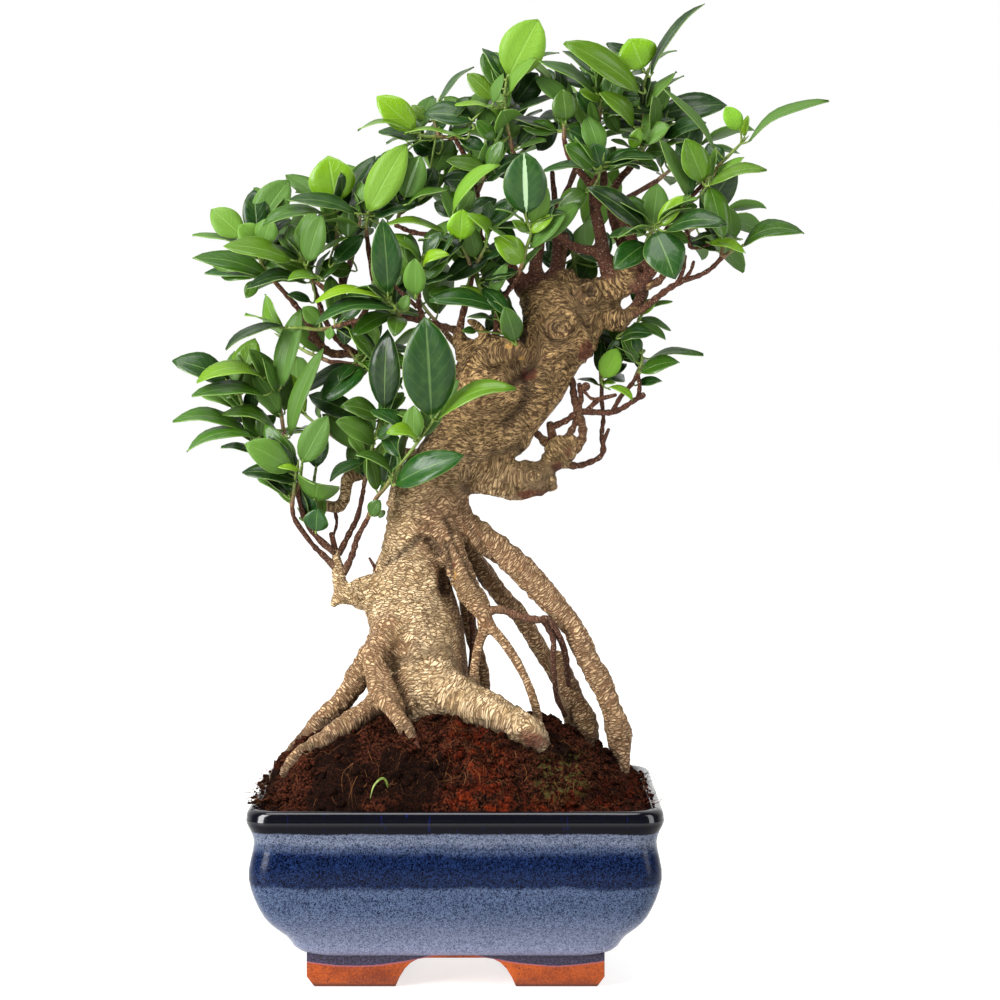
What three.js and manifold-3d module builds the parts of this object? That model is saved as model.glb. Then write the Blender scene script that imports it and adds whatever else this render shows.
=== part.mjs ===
// A Chinese banyan bonsai in a glazed pot, in millimetres with +Z up.
// The pot's feet stand on Z = 0 and the viewer is at -Y.
import * as THREE from 'three';
import { mergeVertices } from 'three/addons/utils/BufferGeometryUtils.js';
import Module from 'manifold-3d';

const wasm = await Module();
wasm.setup();

// The eye that the plant's tables are read from
const eyeDistance = 1500;
const eyeHeight = 357;

// Pot
const potMiddle = -25;
const depthShare = 0.73;
const potCorner = 15;
const cornerSteps = 6;
const footHeight = 18;
const archTop = 17;
const archHalf = 17;
const archBend = 6;
const footInner = 34;
const footOuter = 84;
const footChamfer = 4;
const footChamferHeight = 6.4;
const footSink = 2;
const footBlock = 300;
const drainRadius = 7;
const drainSpacing = 40;
const drainLength = 60;
const drainSides = 12;
// Half width and height of the wall, outside from the bottom up and inside from the top down
const outerWall = [
  [40, 17.3], [84, 18.4], [96, 29], [108, 42], [115.6, 64],
  [112.8, 84.5], [116.5, 96], [116.5, 99], [114, 104],
];
const innerWall = [[108, 104], [106.5, 96], [105.8, 84.5], [108.4, 64], [101, 42], [89, 30], [78, 25]];

const hollowTop = [108, 110];

// Soil
const soilFit = 0.6;
const moundMiddle = -31;
const moundHalf = 113;
const moundBase = 102;
const moundHeight = 47;
const moundEdge = 107;
const moundPower = 2.6;
const moundSides = 24;
const moundSteps = [0.96, 0.84, 0.66, 0.46, 0.24];
const lumpHeight = 1.6;

// Blade of grass: across, up, depth
const grassRadius = 1;
const grass = [[-65, 102, -70], [-67, 108, -78], [-70, 108.5, -84], [-74, 104, -88], [-76, 97, -88.5]];

// Gap that touching pieces keep, and how much each solid is smoothed away
const gap = 0.5;
const woodSlack = 0.4;
const soilSlack = 0.25;
const spraySlack = 0.25;
const trunkSides = 12;

// How far back the leaves reach, and the length over which a leaf is modelled
const backLimit = 86;
const leastLeaf = 16;

// Trunk outline, bottom to top: up, left edge, right edge, depth, half thickness
const trunkRows = [
  [112, -64, -14, 0, 20], [135, -62, -16, 0, 21], [150, -61, -17, 0, 21], [165, -63, -18, 0, 22],
  [180, -72, -19, -1, 24], [195, -76, -21, -2, 25], [210, -77, -24, -2, 25], [222, -76, -28, -2, 23],
  [232, -74, -31, -2, 21], [243, -69, -30, -2, 20], [252, -67, -26, -2, 20], [265, -66, -19, -2, 21],
  [280, -64, -16, -2, 22], [290, -58, -8, -2, 22], [300, -50, 14, -1, 22], [310, -42, 20, 0, 22],
  [320, -37, 28, 0, 22], [330, -29, 36, 1, 22], [340, -27, 41, 2, 22], [350, -8, 47, 4, 22],
  [360, 8, 56, 5, 22], [370, 12, 58, 6, 22], [382, 13, 62, 6, 22], [392, 10, 62, 6, 19],
  [399, 16, 55, 6, 13],
];

// Woody limbs, each a path of across, up, depth, radius
const limbs = {
  stump: [
    [-2, 328, -2, 17], [-9, 343, -6, 18], [-8, 354, -8, 14], [2, 357, -11, 10.5], [12, 355, -12, 7.5],
  ],
  stumpShoulder: [[-10, 345, -4, 15], [-17, 356, -6, 10], [-23, 364, -8, 5], [-24, 371, -9, 3.2]],
  stumpStub: [[-4, 354, -8, 5], [-6, 364, -10, 3.6], [-13, 373, -11, 2.8], [-18, 376, -12, 2]],
  nose: [
    [-14, 290, -2, 15], [-2, 287, -4, 12.5], [8, 284, -4, 11.5], [20, 284, -4, 10], [28, 285, -4, 6],
  ],
  noseNub: [[24, 281, -4, 6], [31, 280, -4, 3.5]],
  knot: [[22, 287, -2, 6], [30, 293, -1, 6], [34, 300, 0, 9.5], [37, 303, 0, 6]],
  rightKnob: [[52, 382, 4, 12], [63, 379, 4, 8], [70, 377, 4, 6.5], [76, 379, 4, 3]],
  leftKnob: [
    [-56, 212, -4, 14], [-70, 217, -6, 12.5], [-83, 217, -7, 8], [-92, 216, -7, 5.5],
    [-97, 211, -7, 2.4],
  ],
  leftKnobStem: [[-90, 216, -7, 5], [-93, 222, -6, 4.2], [-94, 231, -5, 3.8], [-96, 243, -6, 2.4]],
  deadTwig: [[-70, 228, -8, 1.6], [-76, 238, -9, 0.8]],
  headMass: [[30, 388, 6, 17], [38, 396, 6, 11]],
  rootOuter: [
    [-30, 272, -4, 11], [-24, 262, -6, 9.5], [-10, 250, -8, 8.8], [5, 238, -9, 8.5], [18, 226, -9, 8],
    [31, 211, -8, 7.6], [43, 197, -6, 7.1], [51, 180, -4, 6.7], [59, 165, -2, 6.6], [65, 150, 0, 6.9],
    [69, 140, 1, 7.3], [70, 128, 2, 7], [71, 112, 2, 6], [72, 92, 2, 5],
  ],
  rootMiddle: [
    [-32, 264, 4, 7], [-20, 245, 8, 6.2], [-8, 228, 11, 6], [2, 215, 13, 5.8], [12, 204, 15, 5.5],
    [20, 190, 17, 5.2], [28, 178, 18, 5], [35, 165, 19, 5], [40, 150, 19, 5.5], [45, 136, 18, 6],
    [48, 115, 18, 5], [50, 98, 18, 4],
  ],
  rootCluster: [
    [32, 184, 12, 3.5], [36, 172, 12, 5.5], [42, 158, 12, 6.5], [49, 142, 13, 7.5], [52, 124, 13, 7],
    [53, 104, 13, 5],
  ],
  rootFront: [
    [-40, 268, -12, 9], [-35, 256, -15, 9], [-29, 243, -17, 8.5], [-22, 228, -18, 8],
    [-14, 213, -19, 7], [-9, 204, -19, 5],
  ],
  rootFrontLeft: [
    [-12, 212, -19, 4.5], [-10, 197, -18, 3.4], [-13, 185, -16, 3], [-15, 170, -14, 3],
    [-12, 153, -12, 3], [-10, 135, -10, 2.5],
  ],
  rootFrontRight: [
    [-11, 208, -19, 4], [-5, 198, -19, 3.2], [3, 188, -19, 3], [10, 177, -18, 2.8],
    [16, 165, -17, 2.8], [21, 150, -16, 2.9], [23, 135, -15, 2.8], [24, 118, -15, 2.2],
  ],
  rootThin: [
    [-10, 206, -20, 3], [0, 208, -21, 2.4], [12, 204, -21, 2.2], [22, 202, -20, 2.2],
    [28, 202, -18, 2.1], [33, 195, -15, 2], [37, 186, -10, 1.9], [39, 176, -4, 1.8], [40, 164, 4, 1.7],
  ],
  rootThinFork: [
    [26, 201, -18, 1.9], [31, 191, -16, 1.7], [31, 180, -14, 1.6], [32, 168, -8, 1.5],
    [33, 157, 0, 1.5], [38, 146, 8, 1.4],
  ],
  rootDark: [
    [-34, 246, 8, 6], [-25, 235, 13, 5], [-20, 215, 16, 4.6], [-17, 195, 18, 4.4], [-12, 180, 18, 4.4],
    [-10, 165, 17, 4.6], [-12, 148, 16, 5], [-14, 128, 15, 4],
  ],
  rootDarkThin: [
    [-24, 230, 2, 3], [-17, 210, 2, 2.2], [-16, 190, 4, 2], [-17, 170, 4, 2], [-18, 150, 4, 2.4],
  ],
  rootLeft: [
    [-60, 198, 2, 10], [-70, 188, 4, 9], [-80, 172, 5, 8], [-91, 156, 6, 7], [-103, 143, 7, 6.4],
    [-114, 131, 8, 5.8], [-124, 120, 8, 5], [-132, 108, 8, 4],
  ],
  rootLowLeft: [
    [-66, 156, -12, 9], [-82, 144, -22, 7.5], [-95, 136, -27, 6.6], [-108, 128, -31, 6.2],
    [-119, 120, -34, 5.6], [-126, 112, -36, 4],
  ],
  rootGrip: [
    [-66, 192, -18, 8], [-74, 180, -24, 6.5], [-73, 166, -30, 5.8], [-70, 157, -34, 5.4],
    [-62, 148, -39, 5], [-55, 138, -44, 4.7], [-48, 125, -49, 4.2], [-42, 113, -52, 3.8],
    [-37, 100, -54, 3],
  ],
  rootGripFork: [[-71, 176, -26, 4.5], [-64, 162, -32, 3.6], [-58, 150, -33, 3]],
  flare: [
    [-44, 176, -8, 16], [-34, 162, -16, 14], [-17, 152, -24, 12], [0, 145, -31, 11],
    [12, 138, -36, 10.5], [19, 132, -39, 9.5], [24, 124, -41, 7],
  ],
  baseSwell: [[-52, 172, -8, 18], [-45, 152, -14, 16], [-40, 132, -16, 12]],
  barbLow: [[29, 303, 0, 3], [24, 308, 0, 2.4], [21, 311, 0, 1.8]],
  barbHigh: [[31, 306, 0, 3], [29, 316, 0, 2]],
  twigSteep: [[37, 305, 0, 2.6], [43, 315, 0, 1.9], [46, 323, 0, 2]],
  twigThick: [
    [43, 300, 0, 3], [47, 306, 0, 2.7], [48, 313, 0, 2.6], [46, 321, 0, 2.6], [43, 332, 0, 2.2],
    [42, 342, 0, 1.8],
  ],
  twigFlat: [
    [29, 314, 0, 2], [38, 318, 0, 1.8], [46, 323, 0, 2], [56, 323, 2, 1.8], [65, 323, 4, 1.7],
    [72, 326, 5, 1.6], [78, 330, 5, 1.5], [83, 333, 5, 1.7],
  ],
  twigKnobby: [[45, 323, 0, 2], [47, 332, -1, 1.7], [46, 339, -1, 1.5]],
  twigKnobbyEnd: [[46, 335, -1, 1.4], [50, 338, -2, 2.2]],
  twigCross: [[50, 323, 1, 1.6], [57, 330, -1, 1.5], [67, 333, -3, 1.1]],
  twigCrossCurl: [[58, 331, -1, 1], [53, 331, -3, 0.9], [49, 335, -3, 0.9]],
  twigLong: [
    [34, 293, 2, 3], [45, 292, 6, 1.9], [52, 294, 8, 1.7], [58, 297, 9, 1.6], [60, 302, 9, 1.8],
    [59, 310, 9, 1.4], [60, 320, 9, 1.3], [59, 330, 9, 1.3], [59, 340, 9, 1.2],
  ],
  twigLongStub: [[60, 306, 9, 1.3], [63, 313, 8, 1.1]],
  twigRise: [[65, 323, 4, 1.4], [70, 332, 8, 1.4], [76, 339, 10, 1.3], [80, 345, 10, 1.2]],
  twigRiseFork: [[80, 331, 5, 1.4], [81, 338, 8, 1.2], [80, 345, 10, 1.2]],
  headLeft: [
    [16, 392, 4, 7], [8, 402, 2, 5], [1, 411, 0, 4], [-5, 415, -1, 3], [-11, 424, -2, 2.2],
    [-12, 436, -2, 1.9], [-13, 450, -2, 1.7], [-18, 465, -3, 1.5],
  ],
  headLeftStub: [[4, 405, 0, 3], [-5, 411, -2, 2]],
  headInner: [
    [20, 394, 4, 6], [21, 410, 4, 4], [24, 426, 5, 3], [24, 442, 6, 2.3], [16, 456, 2, 2],
    [9, 469, -3, 1.7],
  ],
  headBack: [[30, 396, 8, 6], [33, 414, 10, 3.4], [32, 440, 12, 2.4], [30, 462, 12, 2]],
  headBackSide: [[34, 404, 10, 3], [38, 425, 14, 2]],
  shoulder: [[52, 388, 4, 12], [62, 392, 4, 9.5], [70, 398, 4, 9], [75, 405, 4, 7], [78, 413, 3, 4.5]],
  shoulderLeft: [
    [66, 397, 2, 6], [61, 410, 0, 4.4], [58, 425, -3, 4], [55, 440, -5, 3.6], [53, 453, -7, 3],
    [46, 462, -8, 2.4], [40, 470, -8, 2.1], [37, 480, -8, 1.9],
  ],
  shoulderBow: [
    [62, 408, -1, 3.8], [54, 416, -4, 3.4], [44, 418, -5, 3], [36, 423, -5, 2.6], [31, 430, -4, 2.2],
  ],
  shoulderInner: [
    [76, 405, 6, 5], [72, 418, 9, 4.2], [67, 430, 11, 3.6], [64, 445, 12, 3], [68, 456, 12, 2.6],
    [75, 464, 12, 2.4], [82, 474, 10, 2.2], [82, 484, 8, 1.9],
  ],
  shoulderMesh: [
    [79, 409, 4, 4], [76, 424, 2, 3.4], [69, 436, 0, 2.8], [60, 446, -2, 2.4], [58, 452, -4, 2],
  ],
  shoulderMeshFork: [[76, 424, 2, 2.8], [78, 434, 0, 2.4], [84, 443, -1, 1.6]],
  shoulderRight: [
    [77, 406, 4, 4.5], [86, 416, 2, 3], [94, 425, 0, 2.4], [101, 435, -2, 2], [107, 443, -4, 1.8],
    [114, 451, -5, 1.7], [121, 458, -6, 1.5],
  ],
  shoulderSpur: [[70, 398, 2, 5], [80, 396, 0, 4], [86, 402, -2, 3.4], [90, 406, -3, 2.4]],
  shoulderSpurHook: [[84, 396, 0, 3], [92, 399, -2, 2.2], [96, 405, -3, 1.7]],
  lowKnobBranch: [
    [72, 378, 4, 3.6], [79, 385, 4, 3.6], [84, 395, 3, 3.2], [86, 405, 2, 2.6], [87, 414, 0, 1.8],
  ],
  lowLong: [
    [73, 378, 2, 3], [80, 381, 0, 2.3], [88, 387, -2, 2], [97, 394, -3, 1.8], [106, 399, -4, 1.7],
    [115, 402, -5, 1.5], [122, 406, -5, 1.4], [128, 412, -5, 1.3],
  ],
  lowLongForkA: [[102, 397, -4, 1.4], [106, 405, -5, 1.2], [107, 413, -6, 1]],
  lowLongForkB: [[105, 399, -4, 1.2], [110, 404, -6, 1.1], [112, 410, -7, 1]],
  kneeTwig: [
    [101, 436, -2, 1.2], [108, 428, -2, 1], [110, 419, -2, 1.3], [115, 418, -2, 0.9],
    [121, 420, -2, 0.9],
  ],
  stumpTwigLeft: [[-24, 366, -9, 2.6], [-22, 378, -13, 2], [-18, 392, -16, 1.7], [-16, 404, -18, 1.6]],
  stumpTwigRight: [
    [-3, 360, -10, 3], [-2, 372, -12, 2], [0, 386, -14, 1.8], [6, 395, -16, 1.6], [10, 402, -18, 1.5],
  ],
  stumpTwigBack: [[-1, 384, -13, 1.6], [-6, 396, -10, 1.4], [-12, 408, -7, 1.4]],
  stumpFlat: [
    [-24, 370, -9, 2.4], [-34, 373, -14, 2.1], [-45, 376, -17, 1.9], [-56, 378, -19, 1.8],
    [-66, 378, -20, 1.7], [-78, 377, -19, 1.5], [-90, 374, -17, 1.2],
  ],
  stumpFlatRise: [[-44, 376, -17, 1.8], [-47, 385, -22, 1.6], [-47, 395, -26, 1.4]],
  stumpFlatStub: [[-48, 384, -22, 1.4], [-56, 391, -26, 1.3], [-66, 401, -30, 1.2]],
  hook: [
    [-58, 292, 2, 5], [-70, 289, 2, 4.2], [-82, 287, 1, 3.8], [-89, 284, 0, 3.8], [-90, 275, 0, 3.6],
    [-94, 268, 0, 3.6], [-103, 269, 0, 3.4],
  ],
  hookTwig: [[-96, 266, 0, 1.2], [-95, 258, -1, 0.9], [-98, 249, -2, 1]],
  leftMain: [
    [-20, 345, 2, 6], [-38, 349, 8, 4.2], [-56, 351, 11, 3.6], [-72, 356, 12, 3.2],
    [-80, 365, 11, 2.8], [-86, 376, 9, 2.4], [-90, 390, 6, 2], [-93, 404, 4, 1.8], [-95, 418, 2, 1.5],
  ],
  leftMainLow: [
    [-66, 353, 12, 2.6], [-77, 353, 8, 2.3], [-88, 360, 5, 2.1], [-95, 366, 3, 1.8],
    [-101, 376, 0, 1.6], [-105, 387, -5, 1.4], [-108, 397, -10, 1.3],
  ],
  leftMainFar: [
    [-74, 355, 12, 2.6], [-86, 357, 8, 2.5], [-97, 357, 4, 2.5], [-104, 362, 1, 2.4],
    [-109, 370, -1, 2.1], [-114, 379, -3, 1.8], [-121, 388, -5, 1.6], [-129, 397, -7, 1.4],
  ],
  leftMainFarStub: [[-104, 362, 1, 1.8], [-110, 366, -1, 1.7]],
  leftInner: [
    [-83, 371, 10, 2.2], [-77, 384, 4, 1.9], [-73, 395, -1, 1.7], [-75, 410, -5, 1.5],
    [-77, 425, -9, 1.4],
  ],
  cross: [
    [-7, 418, -2, 2], [-22, 424, -6, 1.7], [-36, 425, -9, 1.5], [-50, 427, -11, 1.4],
    [-60, 431, -12, 1.3],
  ],
  crossRise: [[-15, 456, -2, 1.4], [-20, 470, -4, 1.5], [-26, 481, -6, 1.3]],
  lowA: [
    [-95, 232, -5, 2.4], [-103, 240, -9, 1.8], [-109, 246, -12, 1.6], [-119, 260, -20, 1.4],
    [-121, 268, -23, 1.3],
  ],
  lowB: [[-96, 241, -6, 2.3], [-107, 251, -12, 1.8], [-114, 262, -17, 1.6], [-118, 277, -20, 1.4]],
  lowBStub: [[-96, 243, -6, 1.9], [-98, 252, -7, 1.4]],
  lowD: [
    [-94, 240, -5, 2], [-88, 252, -4, 1.7], [-83, 262, -5, 1.6], [-80, 275, -8, 1.4],
    [-79, 281, -10, 1.3],
  ],
  lowE: [[-91, 229, -5, 2.2], [-86, 240, -9, 1.9], [-83, 250, -13, 1.7], [-77, 261, -19, 1.4]],
  tipLeft: [[-117, 275, -20, 1.4], [-126, 287, -17, 1.3], [-134, 295, -14, 1.2]],
  tipInner: [[-118, 276, -20, 1.4], [-122, 292, -14, 1.3], [-125, 307, -10, 1.2]],
  hubTop: [[53, 452, -7, 2.6], [56, 459, -12, 1.8]],
  topInner: [
    [56, 442, -4, 2.4], [60, 456, 0, 2.1], [59, 470, 3, 1.8], [58, 482, 1, 1.6], [57, 490, 0, 1.4],
  ],
  rightHub: [[83, 413, 1, 2.8], [85, 420, -6, 2], [87, 425, -12, 1.6]],
  knobBack: [[66, 376, 6, 5], [71, 371, 10, 2.6], [75, 370, 12, 1.6]],
  backLeftLow: [[-40, 296, 8, 6], [-56, 299, 16, 3.6], [-72, 300, 28, 2.6], [-92, 306, 44, 1.8]],
  backLeftMid: [[-62, 352, 13, 3], [-78, 350, 30, 2.2], [-98, 352, 48, 1.6]],
  backLeftHigh: [[-84, 373, 11, 2.2], [-94, 388, 30, 1.9], [-106, 398, 48, 1.5]],
  backInnerHigh: [[-91, 396, 6, 1.8], [-86, 412, 28, 1.6], [-82, 428, 46, 1.4]],
  backStump: [[-14, 348, 12, 5], [-22, 358, 34, 3], [-34, 372, 52, 1.9]],
  backCentre: [[8, 402, 4, 3.5], [-6, 414, 28, 2.4], [-22, 430, 48, 1.7]],
  backTop: [[24, 430, 6, 2.4], [15, 446, 30, 1.9], [8, 462, 48, 1.5]],
  backTopRight: [[32, 436, 12, 2.2], [40, 454, 34, 1.8], [46, 470, 52, 1.4]],
  backRight: [[65, 440, 12, 2.6], [76, 448, 34, 1.9], [90, 456, 52, 1.5]],
  backRightLow: [[80, 408, 6, 3], [92, 414, 30, 2], [104, 424, 48, 1.5]],
  backHead: [[40, 392, 16, 8], [44, 398, 38, 3.5], [50, 408, 60, 2]],
};

// Leafy sprays. A shoot is a path of across, up, depth. A leaf is its foot across and up, its tip
// across and up, its depth, how much further back its tip lies, its width, the turn of its face from
// the eye to the sky, and its arch.
const sprays = {
  leftTip: {
    shoots: [
      [[-134, 295, -14], [-141, 307, -11], [-148, 324, -9], [-153, 336, -9], [-157, 340, -9]],
    ],
    leaves: [
      [-157, 341, -190, 353, -8, -6, 19, 42, 0.08], [-151, 338, -142, 366, -3, 6, 17, 10, 0.08],
      [-151, 326, -174, 334, -2, 0, 14, 55, 0.08], [-145, 323, -143, 337, 0, 2, 9, 10, 0.08],
      [-147, 312, -190, 318, -13, -8, 18, 66, 0.14], [-141, 308, -182, 300, -20, -12, 18, 66, 0.18],
      [-137, 298, -162, 303, -9, 0, 12, 75, 0.08], [-143, 310, -130, 321, -7, 2, 9, 15, 0.06],
    ],
  },
  tipInner: {
    shoots: [
      [[-125, 307, -10], [-127, 322, -9], [-129, 334, -9], [-134, 342, -10]],
    ],
    leaves: [
      [-137, 343, -176, 340, -13, -8, 18, 64, 0.2], [-137, 333, -179, 332, -18, -8, 17, 64, 0.1],
      [-130, 313, -161, 322, -14, -6, 15, 66, 0.16], [-127, 338, -115, 383, -13, -2, 15, 28, 0.06],
      [-131, 339, -139, 353, -3, 4, 12, 15, 0.06], [-128, 322, -143, 345, -9, 4, 13, 20, 0.06],
      [-127, 320, -143, 334, -14, 0, 9, 45, 0.06], [-125, 324, -125, 350, -4, 4, 10, 20, 0.06],
      [-122, 309, -102, 360, -14, -6, 13, 42, 0.07],
    ],
  },
  lowTip: {
    shoots: [
      [[-121, 268, -23], [-120, 276, -25], [-119, 285, -27], [-118, 290, -28]],
    ],
    leaves: [
      [-121, 290, -148, 305, -30, -10, 18, 20, 0.1], [-119, 290, -138, 301, -20, 4, 13, 20, 0.06],
      [-119, 283, -150, 288, -25, -2, 15, 50, 0.1], [-123, 275, -141, 285, -21, 4, 10, 50, 0.08],
      [-117, 289, -129, 291, -32, -2, 5, 50, 0.1],
    ],
  },
  lowFront: {
    shoots: [
      [[-118, 277, -20], [-116, 286, -28], [-115, 293, -32]],
    ],
    leaves: [
      [-115, 294, -100, 321, -33, -8, 16, 5, 0.06],
    ],
  },
  lowUnder: {
    shoots: [
      [[-108, 253, -13], [-109, 262, -13], [-108, 273, -14], [-108, 283, -15], [-107, 290, -16]],
    ],
    leaves: [
      [-107, 291, -105, 315, -17, 6, 15, 10, 0.06], [-108, 272, -107, 281, -20, -34, 25, 180, 0.12],
      [-107, 254, -106, 267, -19, -6, 15, 10, 0.06],
    ],
  },
  lowHub: {
    shoots: [
      [[-79, 281, -10], [-77, 290, -14], [-75, 299, -19], [-73, 307, -21], [-70, 318, -20]],
    ],
    leaves: [
      [-70, 320, -92, 327, -20, -8, 15, 45, 0.1], [-73, 314, -83, 324, -11, 4, 9, 20, 0.06],
      [-73, 305, -95, 318, -26, -10, 15, 42, 0.1], [-71, 308, -60, 315, -26, -6, 8, 30, 0.08],
      [-74, 291, -60, 309, -17, 4, 10, 30, 0.06], [-79, 294, -99, 283, -14, -2, 12, 60, 0.12],
      [-80, 287, -88, 304, -5, 6, 10, 10, 0.06], [-77, 286, -75, 299, -15, -4, 6, 20, 0.06],
      [-79, 302, -103, 322, -4, 6, 15, 15, 0.06], [-82, 321, -111, 333, 0, 6, 14, 15, 0.06],
      [-62, 315, -71, 325, -22, -4, 10, 20, 0.06], [-67, 325, -65, 371, -26, -6, 19, 12, 0.06],
    ],
  },
  front: {
    shoots: [
      [
        [-77, 261, -19], [-72, 273, -25], [-67, 279, -29], [-60, 290, -35], [-52, 300, -40],
        [-44, 311, -44], [-38, 319, -46],
      ],
    ],
    leaves: [
      [-40, 321, -43, 378, -52, -14, 30, 5, 0.04], [-50, 307, -50, 327, -48, -4, 13, 15, 0.06],
      [-48, 308, -66, 311, -48, -8, 11, 58, 0.18], [-63, 285, -84, 298, -36, -12, 12, 68, 0.2],
      [-68, 279, -58, 306, -24, 6, 13, 15, 0.06], [-61, 281, -21, 298, -38, -14, 18, 28, 0.08],
      [-36, 318, 9, 337, -46, -10, 17, 60, 0.16], [-75, 263, -70, 272, -24, -6, 9, 15, 0.08],
      [-36, 322, -24, 342, -40, 0, 9, 30, 0.06],
    ],
  },
  leftLow: {
    shoots: [
      [[-88, 360, 5], [-84, 354, 1], [-80, 350, -3]],
    ],
    leaves: [
      [-86, 350, -116, 333, 1, 8, 13, 50, 0.06], [-79, 349, -103, 330, -6, -8, 18, 33, 0.08],
      [-77, 347, -86, 342, 3, 6, 6, 30, 0.06], [-76, 359, -73, 376, -4, -2, 11, 10, 0.06],
    ],
  },
  leftFar: {
    shoots: [
      [[-129, 397, -7], [-135, 404, -10], [-139, 412, -14], [-140, 421, -16], [-141, 429, -15]],
    ],
    leaves: [
      [-148, 419, -178, 425, -6, 4, 12, 72, 0.08], [-149, 424, -167, 440, -3, 6, 17, 15, 0.06],
      [-141, 431, -122, 457, -12, -2, 20, 3, 0.05], [-140, 421, -151, 431, -19, -4, 14, 10, 0.06],
      [-137, 421, -132, 435, -24, -4, 14, 10, 0.06], [-133, 401, -178, 412, -20, -12, 18, 50, 0.1],
      [-136, 401, -171, 403, -8, 4, 14, 60, 0.08], [-132, 399, -148, 405, 0, 6, 8, 40, 0.06],
      [-141, 399, -147, 389, -9, -4, 8, 10, 0.06],
    ],
  },
  leftMiddle: {
    shoots: [
      [[-108, 397, -10], [-111, 404, -15], [-114, 411, -20]],
    ],
    leaves: [
      [-121, 411, -160, 419, -30, -12, 18, 50, 0.08], [-112, 398, -147, 394, -25, -10, 15, 60, 0.16],
      [-104, 399, -123, 399, -22, -8, 12, 64, 0.18], [-111, 410, -103, 437, -30, -6, 15, 14, 0.06],
      [-108, 403, -130, 410, -17, 2, 12, 40, 0.06], [-116, 418, -130, 421, -10, 4, 9, 40, 0.06],
      [-110, 387, -123, 391, -6, 2, 8, 50, 0.08], [-105, 400, -92, 413, -10, 4, 10, 30, 0.06],
      [-104, 415, -88, 424, -19, -2, 8, 68, 0.06], [-119, 421, -115, 441, -6, 6, 8, 25, 0.06],
    ],
  },
  leftUpper: {
    shoots: [
      [[-95, 418, 2], [-94, 430, -3], [-92, 441, -7]],
    ],
    leaves: [
      [-95, 444, -99, 471, -14, -4, 27, 0, 0.05], [-103, 446, -124, 460, -5, 4, 13, 35, 0.06],
      [-101, 437, -137, 431, -16, -8, 14, 58, 0.14], [-98, 420, -102, 440, 0, 4, 15, 10, 0.06],
      [-88, 424, -87, 441, -9, 0, 12, 5, 0.05], [-96, 409, -79, 425, -14, 2, 12, 25, 0.06],
      [-90, 443, -72, 471, 2, 6, 12, 35, 0.06], [-85, 441, -81, 457, 0, 4, 8, 10, 0.06],
      [-86, 405, -100, 406, 4, 4, 11, 20, 0.06],
    ],
  },
  leftInner: {
    shoots: [
      [[-77, 425, -9], [-77, 432, -13], [-76, 437, -16]],
    ],
    leaves: [
      [-76, 439, -54, 478, -20, -8, 20, 8, 0.06], [-84, 438, -123, 445, -24, -10, 16, 56, 0.1],
      [-65, 434, -62, 457, -11, 4, 12, 15, 0.06],
    ],
  },
  leafTwig: {
    shoots: [
      [[-90, 374, -17], [-103, 371, -19], [-115, 372, -20], [-123, 372, -20]],
    ],
    leaves: [
      [-124, 372, -159, 359, -20, -6, 16, 70, 0.14], [-105, 375, -114, 384, -13, 4, 10, 10, 0.06],
      [-98, 372, -99, 365, -20, -2, 6, 10, 0.06], [-89, 376, -90, 362, -10, 2, 10, 20, 0.06],
    ],
  },
  middleFront: {
    shoots: [
      [[-58, 379, -20], [-61, 384, -26], [-65, 388, -31]],
    ],
    leaves: [
      [-66, 388, -107, 387, -34, -12, 14, 70, 0.14], [-62, 382, -107, 374, -36, -14, 17, 62, 0.16],
      [-65, 392, -68, 435, -40, -10, 18, 14, 0.05], [-57, 382, -53, 391, -30, -2, 7, 15, 0.06],
      [-53, 384, -56, 393, -26, -2, 5, 15, 0.06], [-61, 396, -57, 403, -22, 0, 6, 15, 0.06],
    ],
  },
  middleTwig: {
    shoots: [
      [[-47, 395, -26], [-46, 404, -30], [-45, 411, -31]],
    ],
    leaves: [
      [-46, 411, -68, 424, -34, -12, 14, 60, 0.18], [-44, 414, -34, 427, -34, -4, 9, 20, 0.06],
      [-45, 407, -29, 414, -38, -6, 10, 52, 0.24], [-49, 391, -49, 412, -36, -4, 13, 12, 0.06],
      [-44, 400, -30, 418, -30, 0, 13, 20, 0.06], [-50, 404, -60, 420, -14, 4, 11, 20, 0.06],
      [-43, 399, -27, 413, -22, 2, 9, 64, 0.06],
    ],
  },
  stumpTop: {
    shoots: [
      [[-16, 404, -18], [-19, 413, -23], [-23, 421, -28], [-26, 433, -29]],
      [[-16, 404, -18], [-12, 412, -21], [-8, 420, -23], [-8, 431, -24]],
    ],
    leaves: [
      [-23, 423, -22, 440, -34, -8, 16, 0, 0.06], [-8, 420, -20, 438, -30, -10, 10, 52, 0.28],
      [-25, 392, -41, 391, -22, -4, 9, 40, 0.06], [-29, 425, -68, 431, -34, -14, 14, 72, 0.12],
      [-25, 419, -37, 424, -32, -4, 6, 58, 0.08], [-27, 437, 0, 466, -32, -10, 14, 60, 0.16],
      [-25, 436, -38, 444, -22, 6, 10, 20, 0.06], [-19, 436, -2, 446, -16, 8, 11, 20, 0.06],
      [-7, 434, -6, 445, -24, -2, 7, 10, 0.06], [-4, 436, 7, 442, -20, 0, 7, 30, 0.06],
      [-6, 415, -31, 399, -10, 4, 14, 20, 0.06], [-5, 411, -4, 396, -14, 0, 12, 8, 0.06],
      [-19, 417, -6, 420, -16, 2, 7, 15, 0.06],
    ],
  },
  stumpRight: {
    shoots: [
      [[10, 402, -18], [13, 409, -23], [15, 417, -28], [18, 427, -32], [16, 433, -35]],
    ],
    leaves: [
      [13, 410, -3, 424, -30, -8, 15, 18, 0.1], [18, 427, 31, 437, -34, -4, 8, 25, 0.06],
      [16, 427, 7, 434, -35, -4, 6, 20, 0.06], [20, 421, 46, 444, -34, -10, 13, 12, 0.06],
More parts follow.
